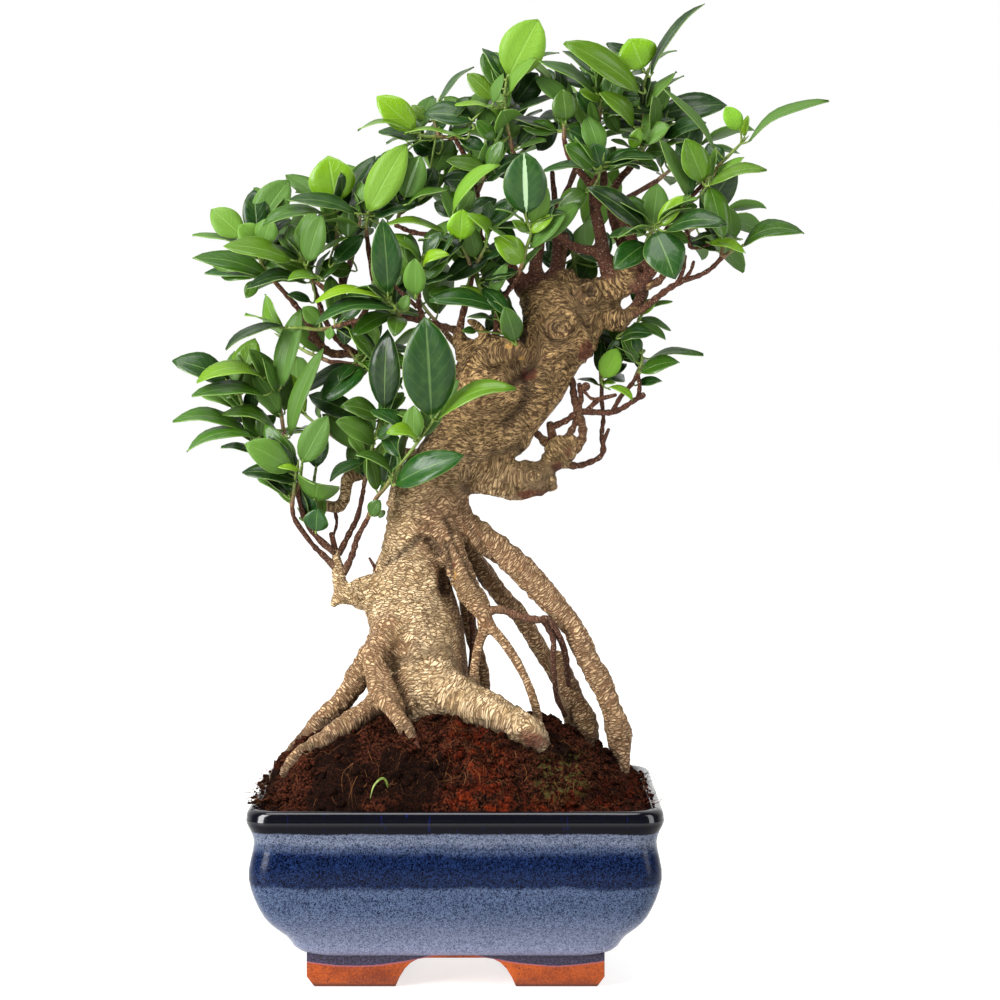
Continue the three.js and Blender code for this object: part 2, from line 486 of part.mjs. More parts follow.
      [15, 438, 14, 473, -42, -10, 25, 0, 0.04], [9, 424, -9, 434, -22, 0, 9, 25, 0.06],
    ],
  },
  stumpLow: {
    shoots: [
      [[-2, 372, -12], [3, 368, -14], [8, 364, -14]],
    ],
    leaves: [
      [9, 364, 3, 384, -16, -4, 13, 8, 0.06], [-4, 377, -19, 378, -16, -2, 8, 66, 0.06],
      [-3, 380, -7, 370, -12, 0, 7, 20, 0.06], [-14, 370, -22, 370, -12, 0, 5, 30, 0.06],
    ],
  },
  stumpBack: {
    shoots: [
      [[-12, 408, -7], [-14, 402, -15], [-11, 391, -21]],
    ],
    leaves: [
      [-8, 389, -23, 396, -18, -2, 8, 68, 0.06], [-5, 391, 4, 409, -8, 4, 8, 12, 0.06],
      [-2, 383, -41, 388, -20, -6, 15, 48, 0.1],
    ],
  },
  hubTop: {
    shoots: [
      [[56, 459, -12], [58, 463, -16], [59, 467, -18]],
    ],
    leaves: [
      [58, 464, 54, 478, -18, -2, 14, 8, 0.06], [54, 464, 37, 477, -22, -6, 14, 30, 0.06],
      [55, 461, 25, 462, -24, -8, 12, 68, 0.14], [61, 463, 81, 474, -18, -2, 12, 45, 0.1],
      [50, 450, 34, 440, -6, 8, 14, 20, 0.06],
    ],
  },
  topInner: {
    shoots: [
      [[57, 490, 0], [58, 501, -2], [59, 511, -4]],
    ],
    leaves: [
      [59, 513, 36, 531, -4, 2, 12, 56, 0.06], [58, 503, 46, 508, -8, -4, 9, 30, 0.1],
      [55, 507, 22, 525, -12, -8, 14, 58, 0.08], [55, 487, 52, 502, -6, 0, 7, 20, 0.06],
      [52, 486, 42, 507, -6, 4, 12, 15, 0.06], [54, 510, 35, 518, 4, 6, 12, 28, 0.06],
      [60, 498, 68, 484, 0, 4, 10, 20, 0.06], [62, 506, 70, 512, 2, 4, 9, 25, 0.06],
    ],
  },
  topCentre: {
    shoots: [
      [[37, 480, -8], [37, 489, -8], [36, 498, -6], [34, 506, -4]],
    ],
    leaves: [
      [38, 491, 36, 509, -14, -4, 15, 8, 0.06], [40, 500, 20, 516, -8, 0, 12, 30, 0.06],
      [33, 505, 8, 494, -14, -6, 10, 64, 0.08], [30, 485, 8, 490, -4, 4, 11, 50, 0.1],
      [30, 513, 10, 527, -4, 0, 10, 60, 0.1], [40, 486, 52, 478, -8, 0, 10, 25, 0.06],
      [33, 490, 22, 474, -4, 6, 12, 15, 0.06],
    ],
  },
  crown: {
    shoots: [
      [[9, 469, -3], [6, 479, -6], [4, 489, -8], [3, 499, -8], [3, 508, -8], [4, 514, -8]],
    ],
    leaves: [
      [5, 517, 22, 549, -12, -4, 26, 2, 0.05], [2, 514, -6, 531, 0, 6, 15, 15, 0.06],
      [-3, 503, -19, 518, -6, 2, 12, 15, 0.06], [-4, 501, 2, 518, -14, -4, 8, 40, 0.06],
      [5, 507, 21, 527, -18, -8, 11, 48, 0.1], [16, 521, 34, 530, 2, 4, 8, 70, 0.12],
      [9, 501, 22, 518, -4, 4, 17, 5, 0.06], [3, 489, 1, 497, -14, -24, 18, 20, 0.1],
      [-4, 498, -26, 500, -10, -4, 8, 70, 0.08], [-6, 481, -9, 499, -4, 2, 13, 12, 0.06],
      [-3, 480, -14, 491, -16, -6, 9, 15, 0.06], [14, 474, 20, 492, 2, 6, 12, 10, 0.06],
    ],
  },
  crownLeft: {
    shoots: [
      [[-26, 481, -6], [-35, 482, -9], [-43, 482, -10], [-48, 484, -10]],
      [[-26, 481, -6], [-20, 487, -10], [-16, 491, -12]],
      [[-35, 482, -9], [-38, 492, -6], [-36, 500, -4]],
    ],
    leaves: [
      [-15, 491, -44, 495, -18, -8, 18, 38, 0.08], [-35, 501, -15, 522, -4, 0, 9, 66, 0.1],
      [-49, 486, -71, 505, -14, -4, 17, 8, 0.06], [-50, 484, -82, 486, -18, -6, 13, 74, 0.16],
      [-47, 480, -70, 485, -12, 2, 12, 55, 0.06], [-42, 491, -51, 500, -4, 2, 7, 15, 0.06],
      [-22, 481, -55, 484, -22, -4, 12, 74, 0.1], [-37, 473, -50, 479, 0, 4, 14, 15, 0.06],
      [-16, 486, -31, 481, -20, -4, 7, 50, 0.08], [-38, 462, -28, 480, -4, 4, 17, 10, 0.06],
    ],
  },
  crownInner: {
    shoots: [
      [[-13, 450, -2], [-9, 459, -6], [-7, 467, -9], [-8, 475, -10]],
    ],
    leaves: [
      [-8, 463, -31, 468, -12, -4, 11, 35, 0.06], [-7, 464, 2, 480, -16, -4, 9, 20, 0.06],
      [-14, 456, -33, 457, -6, 4, 13, 20, 0.06], [-9, 474, -24, 481, -8, 4, 10, 30, 0.06],
      [-4, 470, 6, 458, -8, 4, 11, 10, 0.06],
    ],
  },
  innerLeft: {
    shoots: [
      [[-60, 431, -12], [-58, 438, -14], [-55, 445, -16]],
      [[-58, 438, -14], [-51, 442, -16], [-46, 446, -18]],
    ],
    leaves: [
      [-55, 447, -46, 471, -20, -4, 17, 4, 0.05], [-47, 447, -61, 441, -18, -6, 10, 35, 0.06],
      [-54, 443, -30, 451, -22, -6, 11, 68, 0.1], [-51, 464, -58, 475, -4, 4, 9, 15, 0.06],
      [-44, 450, -38, 464, -10, 4, 13, 10, 0.06],
    ],
  },
  topRight: {
    shoots: [
      [[82, 484, 8], [83, 492, 6], [83, 503, 4], [83, 512, 2], [85, 518, 1]],
    ],
    leaves: [
      [87, 517, 118, 558, -4, -10, 13, 68, 0.1], [82, 521, 75, 538, -6, -4, 24, 5, 0.06],
      [80, 508, 37, 536, -12, -12, 19, 36, 0.06], [86, 521, 102, 531, 4, 2, 9, 76, 0.12],
      [84, 499, 102, 519, 0, -2, 12, 58, 0.06], [88, 503, 106, 517, 8, 4, 9, 70, 0.06],
      [77, 488, 57, 507, -12, -8, 14, 42, 0.14], [80, 499, 67, 514, 0, 2, 9, 20, 0.06],
      [82, 485, 94, 503, -2, 0, 8, 30, 0.06], [84, 511, 73, 516, 4, 2, 6, 50, 0.06],
    ],
  },
  rightUpper: {
    shoots: [
      [[82, 474, 10], [86, 479, 6], [91, 484, 4]],
    ],
    leaves: [
      [91, 494, 131, 500, 18, 2, 19, 26, 0.08], [95, 481, 119, 490, 6, -4, 13, 46, 0.1],
      [81, 479, 98, 488, 0, -4, 13, 28, 0.06], [88, 488, 101, 492, 6, 0, 6, 60, 0.06],
      [76, 475, 81, 487, -4, -2, 8, 10, 0.06], [75, 476, 64, 480, -2, -4, 6, 60, 0.06],
      [92, 474, 108, 480, 4, -2, 8, 66, 0.08], [83, 472, 96, 473, 4, -4, 10, 30, 0.1],
      [80, 468, 92, 462, 8, 0, 7, 30, 0.1],
    ],
  },
  rightHub: {
    shoots: [
      [[87, 425, -12], [88, 429, -18], [90, 431, -22]],
    ],
    leaves: [
      [90, 427, 101, 400, -28, -14, 24, 3, 0.08], [84, 420, 66, 406, -20, -8, 16, 18, 0.1],
      [88, 429, 91, 455, -18, 2, 17, 8, 0.05], [84, 429, 50, 453, -26, -12, 17, 38, 0.07],
      [92, 431, 106, 448, -24, -4, 10, 15, 0.06], [92, 431, 102, 435, -20, 0, 6, 30, 0.06],
      [96, 428, 131, 432, -28, -12, 17, 50, 0.14], [97, 427, 109, 421, -12, 0, 8, 20, 0.06],
      [84, 426, 77, 438, -10, 2, 8, 15, 0.06], [85, 417, 92, 408, -12, 2, 9, 15, 0.06],
      [83, 432, 76, 448, -8, 6, 11, 15, 0.06],
    ],
  },
  rightTop: {
    shoots: [
      [[121, 458, -6], [127, 466, -8], [133, 472, -8], [139, 478, -8]],
    ],
    leaves: [
      [143, 479, 190, 502, -10, -14, 15, 68, 0.12], [138, 486, 130, 499, -10, -2, 11, 5, 0.06],
      [141, 482, 143, 494, -6, 2, 6, 50, 0.06], [124, 475, 94, 509, -20, -10, 10, 58, 0.07],
      [127, 466, 120, 478, 0, 6, 12, 10, 0.06], [122, 459, 125, 476, -12, -2, 7, 55, 0.05],
      [124, 457, 141, 470, -14, -4, 10, 52, 0.06], [121, 454, 154, 463, -18, -10, 14, 60, 0.12],
      [121, 453, 129, 423, -16, -6, 15, 15, 0.06], [117, 456, 107, 481, -10, -2, 17, 8, 0.06],
      [110, 448, 102, 477, -8, 4, 13, 18, 0.06], [108, 448, 92, 480, -16, -4, 12, 45, 0.06],
      [106, 440, 114, 442, -10, -2, 7, 20, 0.06],
    ],
  },
  rightLow: {
    shoots: [
      [[128, 412, -5], [135, 417, -6], [140, 419, -6]],
      [[128, 412, -5], [129, 420, -4], [131, 426, -2]],
    ],
    leaves: [
      [141, 420, 176, 426, -8, -10, 16, 50, 0.22], [136, 424, 131, 441, -4, 4, 11, 12, 0.06],
      [131, 425, 118, 445, 4, 8, 15, 15, 0.06], [128, 426, 111, 422, 0, -2, 7, 68, 0.08],
      [121, 421, 142, 415, -12, -6, 9, 45, 0.14],
    ],
  },
  rightTwig: {
    shoots: [
      [[80, 345, 10], [82, 350, 10], [82, 357, 12]],
    ],
    leaves: [
      [82, 346, 104, 352, 6, -6, 14, 48, 0.1], [86, 354, 118, 356, 13, 2, 12, 72, 0.1],
      [80, 339, 94, 341, 8, -4, 8, 48, 0.1], [83, 359, 62, 361, 16, 4, 12, 48, 0.12],
      [81, 358, 77, 367, 12, 2, 7, 15, 0.06],
    ],
  },
  rightLong: {
    shoots: [
      [[59, 340, 9], [58, 350, 10], [58, 360, 12]],
    ],
    leaves: [
      [60, 343, 68, 360, 5, -2, 13, 0, 0.05], [59, 340, 67, 340, 8, -2, 6, 60, 0.06],
      [57, 339, 45, 342, 9, 2, 6, 68, 0.1], [62, 337, 77, 330, 6, -4, 8, 62, 0.18],
    ],
  },
  rightKnee: {
    shoots: [
      [[75, 370, 12], [79, 374, 12], [82, 379, 14]],
    ],
    leaves: [
      [80, 377, 99, 370, 14, 2, 8, 58, 0.1], [79, 374, 96, 365, 8, -4, 9, 50, 0.1],
      [70, 366, 88, 368, 5, -6, 14, 48, 0.14], [71, 370, 57, 361, 12, 2, 13, 12, 0.06],
      [80, 380, 90, 388, 10, 0, 8, 20, 0.06], [88, 384, 100, 387, 14, 2, 5, 60, 0.06],
      [80, 384, 82, 400, 22, 4, 11, 12, 0.06],
    ],
  },
  headLow: {
    shoots: [
      [[38, 425, 14], [41, 418, 18], [43, 410, 20]],
    ],
    leaves: [
      [35, 405, 23, 416, 16, 4, 9, 15, 0.06], [32, 410, 38, 430, 24, 4, 17, 8, 0.06],
      [45, 397, 54, 412, 24, 2, 15, 5, 0.06], [44, 400, 40, 411, 26, 4, 8, 10, 0.06],
      [60, 411, 62, 427, 22, 4, 9, 15, 0.06],
    ],
  },
};

// Shoots at the back: a path, and how many leaves grow on it by rule
const backSprays = {
  backLeftLow: [[[-92, 306, 44], [-104, 314, 54], [-116, 324, 60]], 5],
  backLeftMid: [[[-98, 352, 48], [-112, 358, 60], [-126, 366, 66]], 5],
  backLeftHigh: [[[-106, 398, 48], [-118, 408, 60], [-128, 418, 64]], 5],
  backInnerHigh: [[[-82, 428, 46], [-80, 442, 60], [-76, 456, 66]], 5],
  backStump: [[[-34, 372, 52], [-44, 384, 66], [-50, 396, 72]], 5],
  backCentre: [[[-22, 430, 48], [-32, 446, 62], [-38, 462, 66]], 5],
  backTop: [[[8, 462, 48], [4, 480, 60], [0, 496, 62]], 5],
  backTopRight: [[[46, 470, 52], [52, 486, 62], [56, 502, 62]], 5],
  backRight: [[[90, 456, 52], [102, 466, 62], [112, 476, 66]], 5],
  backRightLow: [[[104, 424, 48], [116, 432, 58], [126, 438, 62]], 5],
  backHead: [[[50, 408, 60], [52, 422, 72], [50, 436, 76]], 5],
};

// A place that looks to be at across and up on the pot's middle plane, and lies depth behind that plane.
function seen(across, up, depth) {
  const reach = (eyeDistance + depth) / eyeDistance;
  return new THREE.Vector3(across * reach, depth, eyeHeight + (up - eyeHeight) * reach);
}

// Even random numbers from 0 to 1, the same at each run
const randomStep = 16807;
const randomRange = 2147483647;

function makeRandom(seed) {
  let state = seed;
  return () => {
    state = (state * randomStep) % randomRange;
    return state / randomRange;
  };
}

function makeSolid(geometry) {
  geometry.deleteAttribute('normal');
  geometry.deleteAttribute('uv');
  const merged = mergeVertices(geometry, 1e-3);
  const corners = merged.index.array;
  const faces = [];
  for (let i = 0; i < corners.length; i += 3) {
    const [a, b, c] = corners.slice(i, i + 3);
    if (a !== b && b !== c && a !== c) faces.push(a, b, c);
  }
  const vertProperties = new Float32Array(merged.attributes.position.array);
  return new wasm.Manifold(new wasm.Mesh({ numProp: 3, vertProperties, triVerts: new Uint32Array(faces) }));
}

// A closed form of rings, each corner of which the caller places. Middle is true on the two caps.
function makeLoft(sides, rings, place) {
  const form = new THREE.CylinderGeometry(1, 1, rings - 1, sides, rings - 1);
  const spots = form.attributes.position;
  for (let i = 0; i < spots.count; i++) {
    const ring = Math.round(spots.getY(i) + (rings - 1) / 2);
    const middle = Math.hypot(spots.getX(i), spots.getZ(i)) < 0.5;
    const turn = Math.round(Math.atan2(spots.getX(i), spots.getZ(i)) / (2 * Math.PI) * sides);
    const spot = place(ring, (turn + sides) % sides, middle);
    spots.setXYZ(i, spot.x, spot.y, spot.z);
  }
  return makeSolid(form);
}

function uniteAll(solids) {
  return wasm.Manifold.union(solids);
}

function makeGeometry(solid) {
  const { vertProperties, triVerts, numProp } = solid.getMesh();
  const geometry = new THREE.BufferGeometry();
  const positions = new Float32Array(vertProperties.length / numProp * 3);
  for (let i = 0; i < positions.length / 3; i++) {
    positions.set(vertProperties.slice(i * numProp, i * numProp + 3), i * 3);
  }
  geometry.setAttribute('position', new THREE.BufferAttribute(positions, 3));
  geometry.setIndex(Array.from(triVerts));
  return geometry;
}

// The largest body of a solid, so that a scrap cut loose is dropped and a sealed hollow is filled
function keepLargest(solid, slack) {
  let best = solid;
  for (let pass = 0; pass < 2; pass++) {
    const bodies = makeSolid(makeGeometry(best.asOriginal().simplify(slack))).decompose();
    best = bodies.reduce((most, body) => (body.volume() > most.volume() ? body : most));
  }
  return best;
}

function makeMesh(name, solid, color, roughness, metalness = 0) {
  const geometry = makeGeometry(solid);
  geometry.computeVertexNormals();
  const mesh = new THREE.Mesh(geometry, new THREE.MeshStandardMaterial({ color, roughness, metalness }));
  mesh.name = name;
  return mesh;
}

// The rounded rectangle of the pot at half its width, with cornerSteps + 1 spots round each corner
function potOutline(half) {
  const halfDepth = half * depthShare;
  const round = Math.min(potCorner, halfDepth * 0.4);
  const outline = new THREE.Path();
  for (const [turn, [x, y]] of [[1, 1], [-1, 1], [-1, -1], [1, -1]].entries()) {
    const start = turn * Math.PI / 2;
    const middle = new THREE.Vector2(potMiddle + x * (half - round), y * (halfDepth - round));
    const arc = new THREE.EllipseCurve(middle.x, middle.y, round, round, start, start + Math.PI / 2);
    const spots = arc.getPoints(cornerSteps);
    if (turn === 0) outline.setFromPoints(spots);
    else spots.forEach((spot) => outline.lineTo(spot.x, spot.y));
  }
  return outline.closePath();
}

// A solid of rounded rectangles, one for each half width and height
function stackRings(profile) {
  const rings = profile.map(([half]) => potOutline(half).getPoints());
  const count = 4 * (cornerSteps + 1);
  return makeLoft(count, profile.length, (ring, turn, middle) => {
    const height = profile[ring][1];
    if (middle) return new THREE.Vector3(potMiddle, 0, height);
    const corner = rings[ring][turn];
    return new THREE.Vector3(corner.x, corner.y, height);
  });
}

function makeFeet() {
  const shape = (outer, arch, inner) => {
    const outline = new THREE.Shape();
    outline.moveTo(-outer + footChamfer, 0);
    outline.lineTo(-inner, 0);
    outline.quadraticCurveTo(-arch - archBend, archTop, -arch, archTop);
    outline.lineTo(arch, archTop);
    outline.quadraticCurveTo(arch + archBend, archTop, inner, 0);
    outline.lineTo(outer - footChamfer, 0);
    outline.lineTo(outer, footChamferHeight);
    outline.lineTo(outer, footHeight + footSink);
    outline.lineTo(-outer, footHeight + footSink);
    outline.lineTo(-outer, footChamferHeight);
    return outline;
  };
  const options = { depth: footBlock, bevelEnabled: false, curveSegments: 3 };
  const front = new THREE.ExtrudeGeometry(shape(footOuter, archHalf, footInner), options);
  front.rotateX(Math.PI / 2);
  front.translate(potMiddle, footBlock / 2, 0);
  const sideShape = shape(footOuter * depthShare, archHalf * depthShare, footInner * depthShare);
  const side = new THREE.ExtrudeGeometry(sideShape, options);
  side.rotateX(Math.PI / 2);
  side.rotateZ(Math.PI / 2);
  side.translate(potMiddle - footBlock / 2, 0, 0);
  return makeSolid(front).intersect(makeSolid(side));
}

function makePot() {
  const outer = stackRings(outerWall);
  const hollow = stackRings([...innerWall].reverse().concat([hollowTop]));
  const drains = [-1, 1].map((side) => {
    const drain = new THREE.CylinderGeometry(drainRadius, drainRadius, drainLength, drainSides);
    drain.rotateX(Math.PI / 2);
    drain.translate(potMiddle + side * drainSpacing, 0, footHeight);
    return makeSolid(drain);
  });
  return outer.add(makeFeet()).subtract(hollow).subtract(uniteAll(drains));
}

function moundAt(x, y) {
  const across = Math.abs((x - moundMiddle) / moundHalf) ** moundPower;
  const along = Math.abs(y / (moundHalf * depthShare)) ** moundPower;
  const lumps = Math.sin(x * 0.19 + 1) * Math.cos(y * 0.23) * lumpHeight;
  return moundBase + moundHeight * Math.max(0, 1 - across - along) ** 0.9 + lumps;
}

function makeSoil(holes) {
  const below = [...innerWall].reverse().map(([half, height]) => [half - soilFit, height + soilFit]);
  below[below.length - 1] = [moundEdge, moundBase - 2];
  const profile = below.concat(moundSteps.map((share) => [moundEdge * share, 0]));
  const rings = profile.map(([half]) => potOutline(half).getSpacedPoints(moundSides));
  const mound = makeLoft(moundSides, profile.length, (ring, turn, middle) => {
    const corner = middle ? { x: potMiddle, y: 0 } : rings[ring][turn];
    const above = ring >= below.length;
    const height = above ? moundAt(corner.x, corner.y) : profile[ring][1];
    return new THREE.Vector3(corner.x, corner.y, height);
  });
  return keepLargest(mound.subtract(holes), soilSlack);
}

// A tube through the spots, each a place with a radius, widened all round by more
function makeLimb(spots, sides, more) {
  const last = spots.length - 1;
  const headings = spots.map((spot, i) => {
    const ahead = spots[Math.min(i + 1, last)].place.clone();
    return ahead.sub(spots[Math.max(i - 1, 0)].place).normalize();
  });
  return makeLoft(sides, spots.length, (ring, turn, middle) => {
    const { place, radius } = spots[ring];
    const heading = headings[ring];
    const end = ring === 0 ? -1 : ring === last ? 1 : 0;
    const spot = place.clone().addScaledVector(heading, end * more);
    if (middle) return spot;
    const axis = Math.abs(heading.y) > 0.9 ? new THREE.Vector3(1, 0, 0) : new THREE.Vector3(0, 1, 0);
    const out = axis.cross(heading).normalize();
    const over = out.clone().cross(heading).normalize();
    const angle = (turn / sides) * Math.PI * 2;
    const wide = radius + more;
    return spot.addScaledVector(out, Math.sin(angle) * wide).addScaledVector(over, Math.cos(angle) * wide);
  });
}

// Sides of a limb by its largest radius
function limbSides(radius) {
  if (radius > 7.5) return 8;
  if (radius > 4) return 6;
  return radius > 3 ? 5 : 4;
}

function limbSpots(rows) {
  return rows.map(([across, up, depth, radius]) => ({ place: seen(across, up, depth), radius }));
}

// The trunk from its outline: at each height its left and right edge, its depth and half of its thickness
function makeTrunkBody(more) {
  const sides = trunkSides;
  return makeLoft(sides, trunkRows.length, (ring, turn, middle) => {
    const [up, left, right, depth, half] = trunkRows[ring];
    const end = ring === 0 ? -more : ring === trunkRows.length - 1 ? more : 0;
    const centre = (left + right) / 2;
    if (middle) return seen(centre, up + end, depth);
    const angle = (turn / sides) * Math.PI * 2;
    const across = centre + Math.sin(angle) * ((right - left) / 2 + more);
    return seen(across, up + end, depth - Math.cos(angle) * (half + more));
  });
}

function makeWood(more) {
  const parts = Object.values(limbs).map((rows) => {
    const spots = limbSpots(rows);
    return makeLimb(spots, limbSides(Math.max(...spots.map((spot) => spot.radius))), more);
  });
  return uniteAll([makeTrunkBody(more), ...parts]);
}

// A blade from foot to tip. Its face looks along the part of face that is square to it.
function makeBlade(foot, tip, face, width, arch) {
  const along = tip.clone().sub(foot);
  const length = along.length();
  along.divideScalar(length);
  const over = face.clone().addScaledVector(along, -face.dot(along)).normalize();
  const side = along.clone().cross(over);
  return { foot, tip, along, over, side, length, width, arch };
}

// The face of a leaf that the photo shows: turned by an angle from the eye towards the sky
function seenFace(foot, tip, turn) {
  const along = tip.clone().sub(foot).normalize();
  const toEye = new THREE.Vector3(0, -1, 0);
  toEye.addScaledVector(along, -toEye.dot(along)).normalize();
  const toSky = toEye.clone().cross(along).multiplyScalar(along.x < 0 ? -1 : 1);
  const angle = THREE.MathUtils.degToRad(turn);
  return toEye.multiplyScalar(Math.cos(angle)).addScaledVector(toSky, Math.sin(angle));
}

// How far the widest part lies towards the foot, and how full the outline is
const bladeSkew = 0.92;
const bladeFullness = 0.75;

// A spot on a blade: at is 0 at its foot and 1 at its tip, out runs from -1 to 1 across it
function bladeSpot(blade, at, out) {
  const half = blade.width / 2 * Math.sin(Math.PI * at ** bladeSkew) ** bladeFullness;
  return blade.foot.clone()
    .addScaledVector(blade.along, blade.length * at)
    .addScaledVector(blade.over, blade.arch * blade.length * 4 * at * (1 - at))
    .addScaledVector(blade.side, half * out);
}

const bladeStations = [0.24, 0.55, 0.85];
const smallStations = [0.35, 0.74];
const tinyStations = [0.5];
const longBlade = 46;
const shortBlade = 17;
const bladeThickness = 1.5;
const stalkHalf = 0.75;
const stalkDepth = 0.7;
const sharpTurn = 0.4;

// The blade with its stalk from root. A stalk that turns sharply into its blade is a limb of its own.
function makeLeaf(blade, root) {
  let stations = smallStations;
  if (blade.length > longBlade) stations = bladeStations;
  if (blade.length < shortBlade) stations = tinyStations;
  const rings = stations.length + 3;
  const edge = [0, -1, 1];
  const heading = blade.foot.clone().sub(root).normalize();
  const bent = heading.dot(blade.along) < sharpTurn;
  const start = bent ? blade.foot.clone().addScaledVector(blade.along, -stalkHalf * 2) : root;
  const form = makeLoft(3, rings, (ring, turn, middle) => {
    if (ring === rings - 1) return blade.tip.clone();
    const lift = turn === 0 ? -0.5 : 0.5;
    if (ring < 2) {
      const centre = ring === 0 ? start : blade.foot;
      if (middle) return centre.clone();
      return centre.clone().addScaledVector(blade.side, edge[turn] * stalkHalf)
        .addScaledVector(blade.over, lift * 2 * stalkDepth);
    }
    const spot = bladeSpot(blade, stations[ring - 2], edge[turn]);
    return spot.addScaledVector(blade.over, lift * bladeThickness);
  });
  if (!bent || root.distanceTo(blade.foot) < stalkHalf) return form;
  const stalk = [root, blade.foot].map((place) => ({ place, radius: stalkHalf }));
  return form.add(makeLimb(stalk, 3, 0));
}

// Spots that stand for a leaf or a stem when the room round it is measured
const probeAlong = [0.06, 0.22, 0.38, 0.54, 0.7, 0.86, 0.98];
const probeAcross = [-0.95, -0.48, 0, 0.48, 0.95];
const bladeReach = 0.62;

function probeBlade(blade) {
  return probeAlong.flatMap((at) => probeAcross.map((out) => bladeSpot(blade, at, out)));
}

function probePath(places, spacing) {
  const probes = [];
  for (let i = 0; i + 1 < places.length; i++) {
    const steps = Math.max(1, Math.ceil(places[i].distanceTo(places[i + 1]) / spacing));
    for (let k = 0; k < steps; k++) probes.push(places[i].clone().lerp(places[i + 1], k / steps));
  }
  probes.push(places[places.length - 1].clone());
  return probes;
}

// Where on the shoots a stalk starts: the nearest spot from which it runs clear of the wood
function rootFor(shoots, foot, wood) {
  const places = shoots.flatMap((shoot) => probePath(shoot, 2).slice(2));
  places.sort((a, b) => a.distanceTo(foot) - b.distanceTo(foot));
  const clear = places.slice(0, 16).find((place) => stalkProbes(place, foot)
    .every((probe) => wood.every((spot) => spot.place.distanceTo(probe) > spot.reach)));
  return clear || places[0];
}

function stalkProbes(root, foot) {
  return stalkShares.map((share) => root.clone().lerp(foot, share));
}

function woodProbes() {
  const probes = [];
  for (const rows of Object.values(limbs)) {
    const spots = limbSpots(rows);
    for (let i = 0; i + 1 < spots.length; i++) {
      const steps = Math.max(1, Math.ceil(spots[i].place.distanceTo(spots[i + 1].place) / probeStep));
      for (let k = 0; k < steps; k++) {
        const place = spots[i].place.clone().lerp(spots[i + 1].place, k / steps);
        const radius = THREE.MathUtils.lerp(spots[i].radius, spots[i + 1].radius, k / steps);
        probes.push({ place, reach: radius + limbRoom });
      }
    }
  }
  for (const [up, left, right, depth, half] of trunkRows) {
    const slack = (right - left) / 2 - half;
    for (const share of [-1, 0, 1]) {
      const across = (left + right) / 2 + share * Math.max(0, slack);
      probes.push({ place: seen(across, up, depth), reach: half + trunkRoom });
    }
  }
  return probes;
}

// A leaf slides by these steps along the line of sight until it has a clear place
const slides = [0, 5, -5, 10, -10, 15, -15, 21, -21, 28, -28];
const bladeRoom = 3.4;
const kinEase = 0.9;
const limbRoom = 1.6;
const trunkRoom = 1;
const probeStep = 3;
const stalkRoom = 2.4;
const stalkShares = [0.3, 0.6, 0.9];

function roomFor(candidate, wood, stems, grown) {
  let room = Infinity;
  for (const probe of candidate.probes) {
    for (const { place, reach } of wood) {
      room = Math.min(room, place.distanceTo(probe) - reach + bladeRoom);
    }
    for (const stem of stems) {
      if (stem.spray === candidate.spray) continue;
      room = Math.min(room, stem.place.distanceTo(probe) - stalkRoom + bladeRoom);
    }
  }
  for (const probe of candidate.stalk) {
    for (const { place, reach } of wood) room = Math.min(room, place.distanceTo(probe) - reach + bladeRoom);
  }
  for (const other of grown) {
    if (other.centre.distanceTo(candidate.centre) > other.span + candidate.span + bladeRoom) continue;
    const strangers = other.spray !== candidate.spray;
    const ease = strangers ? 0 : kinEase;
    for (const probe of candidate.probes) {
      for (const spot of other.probes) room = Math.min(room, spot.distanceTo(probe) + ease);
      if (!strangers) continue;
      for (const spot of other.stalk) room = Math.min(room, spot.distanceTo(probe) - stalkRoom + bladeRoom);
    }
    if (!strangers) continue;
    for (const probe of candidate.stalk) {
      for (const spot of other.probes) room = Math.min(room, spot.distanceTo(probe) - stalkRoom + bladeRoom);
    }
  }
  return room;
}

function growLeaf(spray, blade, shoots, wood) {
  const root = rootFor(shoots, blade.foot, wood);
  const probes = probeBlade(blade);
  const centre = bladeSpot(blade, 0.5, 0);
  const stalk = stalkProbes(root, blade.foot);
  return { spray, blade, root, probes, centre, stalk, span: blade.length * bladeReach };
}

const backSeed = 2024;
const backAttempts = 14;
const backTurn = 2.4;
const widestSpread = 1.15;
const narrowestSpread = 0.4;
const backLength = 27;
const backStalk = 5;
const backLift = 0.15;
const backDroop = 0.12;
const backArch = 0.08;

function farthest(leaf) {
  return Math.max(...leaf.probes.map((probe) => probe.y));
}

